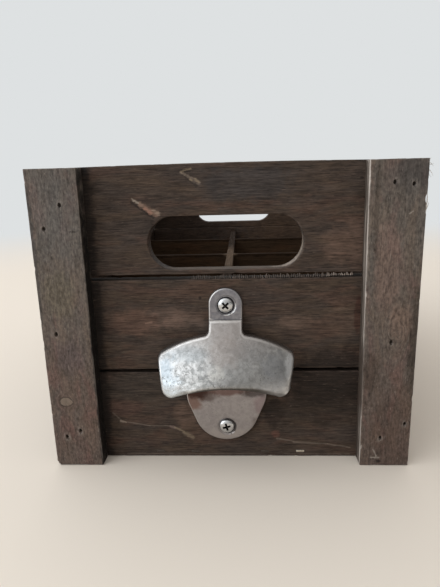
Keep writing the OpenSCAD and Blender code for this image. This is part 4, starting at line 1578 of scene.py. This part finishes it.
def handle_blank(length, width, thickness, hole_y, step):
    """A slat with a round-ended handle hole, in rings from the hole out to its four sides."""
    half_l, half_w = length / 2, width / 2
    along, up = edge_marks(length, step)[:-1], edge_marks(width, step)[:-1]
    outline = np.concatenate(
        [
            np.stack([along - half_l, np.full(len(along), -half_w)], 1),
            np.stack([np.full(len(up), half_l), up - half_w], 1),
            np.stack([half_l - along, np.full(len(along), half_w)], 1),
            np.stack([np.full(len(up), -half_l), half_w - up], 1),
        ]
    )
    straight = (HANDLE_W - HANDLE_H) / 2
    core = np.stack(
        [np.clip(outline[:, 0], -straight, straight), np.full(len(outline), hole_y)], 1
    )
    away = outline - core
    far = np.linalg.norm(away, axis=1)
    away /= far[:, None]
    reach = far - HANDLE_H / 2
    rings = max(12, round(30 * MM / step)) + 2 * len(NEAR_EDGE)
    depths = edge_marks(thickness, 1.2 * MM)[1:-1]
    near = NEAR_EDGE * MM
    last = len(near) - 1
    squeeze = np.minimum(1.0, reach / ROOMY)

    def way_out(ring):
        """How far a ring's points lie from the hole's edge."""
        if ring <= last:
            return near[ring] * squeeze
        if ring >= rings - 1 - last:
            return reach - near[rings - 1 - ring] * squeeze
        share = (ring - last) / (rings - 1 - 2 * last)
        return near[last] * squeeze * (1 - share) + (reach - near[last] * squeeze) * share

    # The rings go out over one face, down the sides, back over the other face and up the hole
    loop = [(way_out(i), 0.0) for i in range(rings)]
    loop += [(reach, d) for d in depths]
    loop += [(way_out(i), thickness) for i in reversed(range(rings))]
    loop += [(np.zeros(len(reach)), d) for d in depths[::-1]]
    points, rims = [], []
    radius = np.minimum(RIM_RADIUS, reach * RIM_SHARE)
    for out, depth in loop:
        deep = min(depth, thickness - depth)
        inner_out, inner_deep = np.maximum(out, radius), np.maximum(deep, radius)
        lean = np.stack([out - inner_out, deep - inner_deep], 1)
        size = np.maximum(np.linalg.norm(lean, axis=1), 1e-9)
        scale = np.where(size > radius, radius / size, 1.0)
        new_out = inner_out + lean[:, 0] * scale
        new_deep = inner_deep + lean[:, 1] * scale
        flat = core + away * (HANDLE_H / 2 + new_out)[:, None]
        height = thickness / 2 - (new_deep if depth <= thickness / 2 else thickness - new_deep)
        points.append(np.concatenate([flat, height[:, None]], 1))
        rims.append(np.maximum(out, deep))
    columns, rows = len(outline), len(loop)
    verts = np.concatenate(points)
    faces = [
        (
            row * columns + col,
            row * columns + (col + 1) % columns,
            (row + 1) % rows * columns + (col + 1) % columns,
            (row + 1) % rows * columns + col,
        )
        for row in range(rows)
        for col in range(columns)
    ]
    mesh = bpy.data.meshes.new("handle_blank")
    mesh.from_pydata([tuple(v) for v in verts], [], faces)
    face_outwards(mesh)
    keep_value(mesh, "rim", np.concatenate(rims))
    return mesh


def halved_joints(node):
    """Boxes that cut a divider's halved joints, as pairs of corners."""
    low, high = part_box(node)
    middle = (low.z + high.z) / 2
    play = 0.2 * MM
    if node == "long_divider":
        crossings = [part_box(n) for n in ("front_cross_divider", "back_cross_divider")]
        return [
            ((low.x - MM, b[0].y - play, middle), (high.x + MM, b[1].y + play, high.z + MM))
            for b in crossings
        ]
    long_low, long_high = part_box("long_divider")
    return [
        (
            (long_low.x - play, low.y - MM, low.z - MM),
            (long_high.x + play, high.y + MM, middle + play),
        )
    ]


def cutter_for(node, way, centre):
    """A mesh of all that is cut from a board, in the board's own directions."""
    boxes = halved_joints(node) if "divider" in node else []
    chips = CHIPS.get(node, ())
    if not boxes and not chips:
        return None
    work = bmesh.new()
    for low, high in boxes:
        low, high = Vector(low), Vector(high)
        place = Matrix.Translation((low + high) / 2) @ Matrix.Diagonal((*(high - low), 1))
        bmesh.ops.create_cube(work, size=1, matrix=place)
    for middle, radii in chips:
        size = Matrix.Diagonal((*(Vector(radii) * MM), 1))
        place = Matrix.Translation(Vector(middle) * MM) @ size
        bmesh.ops.create_icosphere(work, subdivisions=3, radius=1, matrix=place)
    into_board = way.to_4x4().transposed() @ Matrix.Translation(-centre)
    bmesh.ops.transform(work, matrix=into_board, verts=work.verts)
    mesh = bpy.data.meshes.new("cutter")
    work.to_mesh(mesh)
    work.free()
    return add_object("cutter", mesh)


def nails_in(low, high, out):
    """The heads of the brads that are driven into a board's best face."""
    play = 0.1 * MM
    return [
        Vector(head)
        for head, drive in brad_heads
        if all(low[i] - play < head[i] < high[i] + play for i in range(3))
        and Vector(drive).dot(out) > 0.9
    ]


def make_board(node, kind, seed):
    """Builds the board that stands for a CAD node, with pockets over the brads in its face."""
    wood, directions, spacing, arris, nick = BOARD_KINDS[kind]
    low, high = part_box(node)
    down, up = GROWTH.get(node, (0.0, 0.0))
    low.z -= down * MM
    high.z += up * MM
    centre = (low + high) / 2
    way = Matrix(directions).transposed()
    size = Vector([abs(v) for v in way.transposed() @ (high - low)])
    nails = [way.transposed() @ (head - centre) for head in nails_in(low, high, directions[2])]
    for spot in nails:
        spot.z = size.z / 2
    helper = helper_points("nails", nails) if nails else None
    cutter = cutter_for(node, way, centre)
    values = {
        "Size": tuple(size),
        "Spacing": spacing * MM,
        "Arris Radius": arris * MM,
        "Nick Depth": nick * MM,
        "Unevenness": UNEVENNESS * MM,
        "Seed": float(seed),
        **{label: value * MM for label, value in UNTRUE.get(node, {}).items()},
        "Place": tuple(centre),
        "Turn": tuple(way.to_euler()),
        "Wood": WOODS[wood],
    }
    if helper:
        values["Nails"] = helper
    if cutter:
        values["Cuts"] = cutter
    blank = None
    if node in HANDLE_RISE:
        hole = HANDLE_Z + HANDLE_RISE[node] - centre.z
        blank = handle_blank(*size, hole, spacing * MM)
        values["Use Blank"] = True
    piece = build(node + "_sawn", SAWN_BOARD, values, blank)
    drop(helper, cutter)
    finish_piece(piece, wood, node)


for seed, (node, kind) in enumerate(BOARDS, 1):
    make_board(node, kind, seed)

# The opener, in millimetres across it, out from the wall and up from its foot
OPENER_H = 85.0
TAB_W, TAB_T = 17.5, 2.4
STEP_Z, STEP_RISE, STEP_SINK = 68.5, 1.2, 0.4
LIP_Z = 32.0
CROWN_Z, CROWN_R = 62.5, 61.2
HOOD_W, HOOD_T, HOOD_REACH, HOOD_AXIS = 70.8, 3.0, 23.6, 45.0
NECK_FILLET, WING_CORNER, WING_LOWER, WING_TAPER = 2.5, 4.5, 4.8, 2.3
PLATE_R, PLATE_FLARE, PLATE_HALF_W, PLATE_CORNER = 17.6, 22.5, 21.6, 18.0
PLATE_FOOT, PLATE_SHOULDER_Z, PLATE_NECK_Z = -0.6, 46.0, 58.0
# The screws, their dished seats, and the rings of points that the seats' slopes need
SCREW_Z, SCREW_HOLE_R, SCREW_TURN = (75.9, 7.6), 2.05, (43.0, 15.0)
SEAT_R, SEAT_DEPTH, SEAT_X = 4.6, 0.9, 0.25
DISH_EDGE, DISH_DEPTH = (5.3, 5.2), 0.35
SEAT_RINGS = (SCREW_HOLE_R, 3.6, 4.0, 4.25, 4.5, 4.7, 4.9, 5.0, 5.1, 5.2, 5.3, 5.4, 5.7)
# Loops of points inside an outline
INNER_LOOPS = (0.12, 0.32, 0.6, 0.95, 1.4, 1.9, 2.5)
PLATE_STEP, HOOD_STEP = 1.0, 0.85
# The flat filed on the hood: a point on it, how deep it cuts there, and its slopes
FLAT_X, FLAT_Z, FLAT_DEPTH, FLAT_SLOPES = 31.3, 34.8, 0.75, (-0.62, 0.26)
# It hangs a little out of plumb from its upper screw
SLANT = 0.011


def arc(centre, radius, start, end, steps):
    """Points on an arc, with its angles in degrees."""
    angles = np.radians(np.linspace(start, end, steps + 1))
    return [(centre[0] + radius * math.cos(a), centre[1] + radius * math.sin(a)) for a in angles]


def on_wall(x, height, z):
    """A place on the opener, from millimetres across it, out from the wall and up it."""
    slip = SLANT * (SCREW_Z[0] - z)
    return ((OPENER_X + x - slip) * MM, (SLAT_Y - height) * MM, (OPENER_Z + z) * MM)


def both_halves(right):
    """A closed outline from its right half, which runs from one middle point to the other."""
    left = [(-x, z) for x, z in reversed(right) if x > 1e-6]
    return right + left


def plate_outline():
    """A tab above and a wide round foot below."""
    flare = math.radians(PLATE_FLARE)
    flare_x = PLATE_R * math.cos(flare)
    flare_z = PLATE_FOOT + PLATE_R - PLATE_R * math.sin(flare)
    side_z = flare_z + (PLATE_HALF_W - flare_x) / math.tan(flare)
    tab_r = TAB_W / 2
    corner = (PLATE_HALF_W - PLATE_CORNER, side_z + PLATE_CORNER * math.tan(flare / 2))
    return both_halves(
        arc((0, PLATE_FOOT + PLATE_R), PLATE_R, -90, -PLATE_FLARE, 30)
        + arc(corner, PLATE_CORNER, -PLATE_FLARE, 0, 8)
        + [(PLATE_HALF_W, PLATE_SHOULDER_Z), (tab_r, PLATE_NECK_Z)]
        + arc((0, OPENER_H - tab_r), tab_r, 0, 90, 24)
    )


def hood_outline():
    """A neck, a crown over two rounded wings, and the arch between them."""
    half_w = HOOD_W / 2
    crown = (0, CROWN_Z - CROWN_R)
    arch = (0, ARCH_Z - ARCH_R)
    tab_r = TAB_W / 2
    neck_x = tab_r + NECK_FILLET
    neck_z = crown[1] + math.sqrt((CROWN_R + NECK_FILLET) ** 2 - neck_x**2)
    neck_angle = math.degrees(math.atan2(neck_z - crown[1], neck_x))
    corner_x = half_w - WING_CORNER
    corner_angle = math.degrees(math.acos(corner_x / (CROWN_R - WING_CORNER)))
    corner_z = crown[1] + corner_x * math.tan(math.radians(corner_angle))
    lower_x = half_w - WING_TAPER - WING_LOWER
    lower_angle = math.degrees(math.acos(lower_x / (ARCH_R + WING_LOWER)))
    lower_z = arch[1] + lower_x * math.tan(math.radians(lower_angle))
    right = (
        [(tab_r, STEP_Z)]
        + arc((neck_x, neck_z), NECK_FILLET, 180, 180 + neck_angle, 8)
        + arc(crown, CROWN_R, neck_angle, corner_angle, 26)[1:]
        + arc((corner_x, corner_z), WING_CORNER, corner_angle, 0, 10)[1:]
        + arc((lower_x, lower_z), WING_LOWER, 0, lower_angle - 180, 14)
        + arc(arch, ARCH_R, lower_angle, 90, 36)[1:]
    )
    return both_halves(right)


def resample(outline, step):
    """The same closed outline with extra points wherever two are further apart than step."""
    dense = []
    for (x0, z0), (x1, z1) in zip(outline, outline[1:] + outline[:1]):
        far = math.hypot(x1 - x0, z1 - z0)
        if far < 1e-6:
            continue
        count = max(1, math.ceil(far / step))
        dense += [(x0 + (x1 - x0) * i / count, z0 + (z1 - z0) * i / count) for i in range(count)]
    return np.array(dense)


def shrunk(loop, distance):
    """A closed loop moved inwards by a distance. The loop runs either way round."""
    ahead = np.roll(loop, -1, 0) - loop
    behind = loop - np.roll(loop, 1, 0)
    ahead /= np.linalg.norm(ahead, axis=1)[:, None]
    behind /= np.linalg.norm(behind, axis=1)[:, None]
    area = np.sum(loop[:, 0] * np.roll(loop[:, 1], -1) - loop[:, 1] * np.roll(loop[:, 0], -1))
    turn = 1 if area > 0 else -1
    inward = np.stack([-(ahead + behind)[:, 1], (ahead + behind)[:, 0]], 1) * turn
    inward /= np.linalg.norm(inward, axis=1)[:, None]
    cosine = np.sum(inward * np.stack([-ahead[:, 1], ahead[:, 0]], 1) * turn, axis=1)
    return loop + inward * (distance / np.maximum(cosine, 0.5))[:, None]


def gap_to(loop, points):
    """Distance from each point to a closed loop of straight pieces."""
    start, line = loop, np.roll(loop, -1, 0) - loop
    best = np.full(len(points), 1e9)
    for a, d in zip(start, line):
        share = np.clip(((points - a) @ d) / (d @ d), 0, 1)
        best = np.minimum(best, np.linalg.norm(points - a - share[:, None] * d, axis=1))
    return best


def inside(loop, points):
    """Which points lie inside a closed loop."""
    x, z = points[:, 0], points[:, 1]
    odd = np.zeros(len(points), bool)
    for (x0, z0), (x1, z1) in zip(loop, np.roll(loop, -1, 0)):
        crosses = (z0 > z) != (z1 > z)
        if z1 != z0:
            odd ^= crosses & (x < x0 + (z - z0) * (x1 - x0) / (z1 - z0))
    return odd


# How a casting's points are spaced, as shares of its step: along its outline, round a seat's
# rings, from row to row, and clear of the inner loops and of the rings
ALONG, AROUND, ROW, OFF_LOOPS, OFF_RINGS = 0.8, 0.55, 0.866, 0.5, 0.4


def casting(name, outline, front, back, step, holes=(), rings=()):
    """A closed shell between two height fields over an outline, both heights in millimetres
    from the wall. Each takes the points and their distances from the outline."""
    loop = resample(outline, step * ALONG)
    circles = []
    for centre, radii in rings:
        for radius in radii:
            count = max(24, round(2 * math.pi * radius / (step * AROUND)))
            circles.append(np.array(arc(centre, radius, 0, 360, count)[:-1]))
    low, high = loop.min(0), loop.max(0)
    xs = np.arange(low[0], high[0], step)
    zs = np.arange(low[1], high[1], step * ROW)
    grid = np.array([(x + (i % 2) * step / 2, z) for i, z in enumerate(zs) for x in xs])
    grid = grid[inside(loop, grid)]
    grid = grid[gap_to(loop, grid) > INNER_LOOPS[-1] + step * OFF_LOOPS]
    for centre, radii in rings:
        far = np.linalg.norm(grid - np.array(centre), axis=1)
        grid = grid[far > max(radii) + step * OFF_RINGS]
    points, edges = [], []
    inner = [(shrunk(loop, d), False) for d in INNER_LOOPS]
    for ring, keeps_edges in [(loop, True), *inner, *((c, True) for c in circles)]:
        first = len(points)
        points += [tuple(p) for p in ring]
        if keeps_edges:
            edges += [(first + i, first + (i + 1) % len(ring)) for i in range(len(ring))]
    points += [tuple(p) for p in grid]
    flat, _, triangles, *_ = delaunay_2d_cdt([Vector(p) for p in points], edges, [], 0, 1e-5)
    flat = np.array([tuple(v) for v in flat])
    middles = np.array([flat[list(t)].mean(0) for t in triangles])
    keep = inside(loop, middles)
    for centre, radius in holes:
        keep &= np.linalg.norm(middles - np.array(centre), axis=1) > radius * 0.98
    triangles = [t for t, k in zip(triangles, keep) if k]
    gaps = gap_to(loop, flat)
    heights = (front(flat, gaps), back(flat, gaps))
    count = len(flat)
    verts = [on_wall(x, h, z) for layer in heights for (x, z), h in zip(flat, layer)]
    faces, sides = [], {}
    for a, b, c in triangles:
        faces += [(a, b, c), (c + count, b + count, a + count)]
        sides.update(dict.fromkeys([(a, b), (b, c), (c, a)]))
    faces += [(b, a, a + count, b + count) for a, b in sides if (b, a) not in sides]
    mesh = bpy.data.meshes.new(name)
    mesh.from_pydata(verts, [], faces)
    keep_value(mesh, "edge_gap", np.tile(gaps, 2))
    face_outwards(mesh)
    return add_object(name, mesh)


def rounding(gap, radius):
    """How far a face drops at a distance from its edge, for a round edge of a radius."""
    lean = np.clip(radius - gap, 0, radius)
    return radius - np.sqrt(np.maximum(radius**2 - lean**2, 0))


def smooth_step(value, low, high):
    share = np.clip((value - low) / (high - low), 0, 1)
    return share * share * (3 - 2 * share)


def hood_swing(z):
    """How far the hood has swung out at a height, from 0 at its neck to 1 at its lip."""
    return np.sin(np.radians(90) * np.clip((STEP_Z - z) / (STEP_Z - LIP_Z), 0, 1))


def hood_stand(z):
    """How far the hood's middle stands out from the wall at a height."""
    neck = TAB_T + STEP_RISE
    return neck + (HOOD_REACH - neck) * hood_swing(z) / hood_swing(ARCH_Z)


def hood_height(points, depth):
    """The hood's bowed face, or a face that lies a depth below it."""
    x, z = points[:, 0], points[:, 1]
    radius = HOOD_AXIS + hood_stand(z) - depth
    return np.sqrt(radius**2 - x**2) - HOOD_AXIS


def dents(points, size, depth, shift=0.0):
    """Soft unevenness of a cast face."""
    places = (Vector((x / size + shift, z / size, shift)) for x, z in points)
    return np.array([depth * noise.noise(p) for p in places])


def edge_radius(points):
    """The hood's edge is rolled under along its arch, rounder on its wings than at its neck."""
    x, z = points[:, 0], points[:, 1]
    round_by = 0.2 + 0.6 * smooth_step(x, -31.0, -22.0) + 0.55 * smooth_step(x, -22.0, 12.0)
    rolled = (1 - smooth_step(z, 39.0, 46.0)) * round_by
    return 0.85 + 0.45 * (1 - smooth_step(z, 55.0, 60.0)) + rolled


def hood_front(points, gap):
    """The hood's outer face, with a flat filed on the lower corner of its right wing."""
    x, z = points[:, 0], points[:, 1]
    height = hood_height(points, 0) - rounding(gap, edge_radius(points))
    height = height + dents(points, 3.2, 0.09) + dents(points, 1.3, 0.035, 5.0)
    filed = hood_height(np.array([[FLAT_X, FLAT_Z]]), 0)[0] - FLAT_DEPTH
    filed = filed + FLAT_SLOPES[0] * (x - FLAT_X) + FLAT_SLOPES[1] * (z - FLAT_Z)
    return np.minimum(height, filed + 2.0 * smooth_step(z, 37.5, 41.0))


def hood_back(points, gap):
    return hood_height(points, HOOD_T) + rounding(gap, np.full(len(points), 0.35))


def plate_front(points, gap):
    """The plate's outer face, with a bevelled edge and a dished seat for each screw."""
    height = TAB_T - rounding(gap, 0.8) + dents(points, 4.0, 0.03, 9.0)
    for z, edge in zip(SCREW_Z, DISH_EDGE):
        far = np.linalg.norm(points - np.array([SEAT_X, z]), axis=1)
        height = height - DISH_DEPTH * (1 - smooth_step(far, edge - 0.22, edge))
        seat = 1 - smooth_step(far, SEAT_R - 0.5, SEAT_R)
        height = height - (SEAT_DEPTH - DISH_DEPTH) * seat
    return height


def plate_back(points, gap):
    return np.zeros(len(points))


def prism(name, profile, half_w, bevel=0.0):
    """A solid bar across the opener with a side profile of (height from the wall, z)."""
    work = bmesh.new()
    left, right = (
        [work.verts.new(on_wall(x, h, z)) for h, z in profile] for x in (-half_w, half_w)
    )
    work.faces.new(left)
    work.faces.new(right[::-1])
    count = len(profile)
    for i in range(count):
        j = (i + 1) % count
        work.faces.new((left[j], left[i], right[i], right[j]))
    bmesh.ops.recalc_face_normals(work, faces=work.faces)
    if bevel:
        how = {"offset": bevel * MM, "segments": 3, "affect": "EDGES", "profile": 0.5}
        bmesh.ops.bevel(work, geom=work.edges, **how)
    mesh = bpy.data.meshes.new(name)
    work.to_mesh(mesh)
    work.free()
    face_outwards(mesh)
    return add_object(name, mesh)


# The tooth under the hood that grips a cap: how far it reaches, its foot, lip and top
TOOTH_REACH, TOOTH_Z, TOOTH_HALF_W, TOOTH_BEVEL = 4.5, (35.0, 37.0, 43.0), 13.0, 0.4


def make_opener():
    """The plate, the hood, the neck that joins them and the tooth, fused into one casting."""
    seats = [((0, z), SEAT_RINGS) for z in SCREW_Z]
    holes = [((0, z), SCREW_HOLE_R) for z in SCREW_Z]
    plate = casting("plate", plate_outline(), plate_front, plate_back, PLATE_STEP, holes, seats)
    hood = casting("hood", hood_outline(), hood_front, hood_back, HOOD_STEP)
    inner, neck_foot = TAB_T / 2, PLATE_NECK_Z - (STEP_Z - PLATE_NECK_Z) / 2
    neck = prism(
        "neck",
        [
            (inner, STEP_Z - STEP_SINK),
            (TAB_T + STEP_RISE - 0.6, STEP_Z - STEP_SINK),
            (float(hood_stand(np.array(PLATE_NECK_Z))) - HOOD_T / 2, PLATE_NECK_Z),
            (TAB_T, neck_foot),
            (inner, neck_foot),
        ],
        TAB_W / 2 - 0.25,
    )
    foot, lip, top = TOOTH_Z
    reach = TAB_T + TOOTH_REACH
    profile = [(inner, foot), (reach, foot), (reach, lip), (inner, top)]
    tooth = prism("tooth", profile, TOOTH_HALF_W, TOOTH_BEVEL)
    values = {"First": hood, "Second": neck, "Third": tooth, "Metal": opener_metal}
    piece = build("bottle_opener_cast", FUSED_CASTING, values, plate.data)
    bpy.data.objects.remove(plate)
    drop(hood, neck, tooth)
    finish_piece(piece, "cast_opener", "bottle_opener")


make_opener()

screws = ("upper_opener_screw", "lower_opener_screw")
for node, z, turn in zip(screws, SCREW_Z, SCREW_TURN):
    place = on_wall(0.0, TAB_T - SEAT_DEPTH, z)
    values = {"Recess Turn": math.radians(turn), "Place": place, "Steel": screw_metal}
    piece = build(node + "_turned", DOMED_SCREW, values)
    finish_piece(piece, "opener_screw_steel", node)

# Torn wood

# Rows of chips along the upper front seam: ends (X, Z), count, least and greatest size, seed
# and wood. They stand just inside the slats' face.
TORN_Y = -141.6
TORN_SEAMS = {
    "long_tear": (
        ((-17.6, 101.5), (52.0, 101.8), 64),
        ((0.24, 0.45, 0.9), (0.36, 0.6, 2.3), 3, seam_wood),
    ),
    "clear_tear": (
        ((51.4, 102.2), (64.0, 102.3), 14),
        ((0.24, 0.5, 1.0), (0.42, 0.6, 1.7), 8, bare_seam_wood),
    ),
}
for name, ((start, end, count), (low, high, seed, wood)) in TORN_SEAMS.items():
    values = {
        "Start": (start[0] * MM, TORN_Y * MM, start[1] * MM),
        "End": (end[0] * MM, TORN_Y * MM, end[1] * MM),
        "Count": count,
        "Low": tuple(v * MM for v in low),
        "High": tuple(v * MM for v in high),
        "Seed": seed,
        "Wood": wood,
    }
    piece = build("front_seam_" + name, TORN_EDGE, values)
    finish_piece(piece, "stained_end_wood")

# Roots, reaches and bends in millimetres, and how thick each splinter is
SPLINTERS = (
    ((94.6, -150.9, 156.4), (2.2, -0.2, -2.0), (0.4, 0.0, 0.8), 0.35),
    ((94.7, -150.6, 155.2), (2.6, 0.0, 0.6), (0.0, 0.0, -0.8), 0.3),
    ((94.6, -150.8, 153.4), (2.4, -0.3, -3.6), (1.2, 0.0, 0.4), 0.4),
    ((94.6, -150.7, 151.0), (1.8, 0.1, -1.6), (0.3, 0.0, 0.6), 0.3),
    ((94.9, -150.9, 157.4), (0.7, 0.0, 1.0), (0.2, 0.0, 0.0), 0.35),
    ((94.5, -150.6, 133.2), (0.5, -0.1, 9.6), (1.5, 0.0, 0.0), 1.1),
    ((94.4, -150.7, 134.0), (1.6, -0.1, 4.2), (1.2, 0.0, 0.0), 0.7),
    ((-12.0, -141.7, 157.6), (2.6, -0.1, 0.5), (0.0, 0.0, 0.3), 0.3),
    ((79.0, -150.7, 157.7), (2.0, 0.0, 0.6), (0.0, 0.0, 0.4), 0.35),
)
roots, reaches, bends, hefts = zip(*SPLINTERS)
roots, reaches, bends = (np.array(v) * MM for v in (roots, reaches, bends))
helper = helper_points("roots", roots, reach=reaches, bend=bends, heft=hefts)
piece = build("batten_splinters", LOOSE_SPLINTERS, {"Roots": helper, "Wood": splinter_wood})
drop(helper)
finish_piece(piece, "stained_batten_wood")
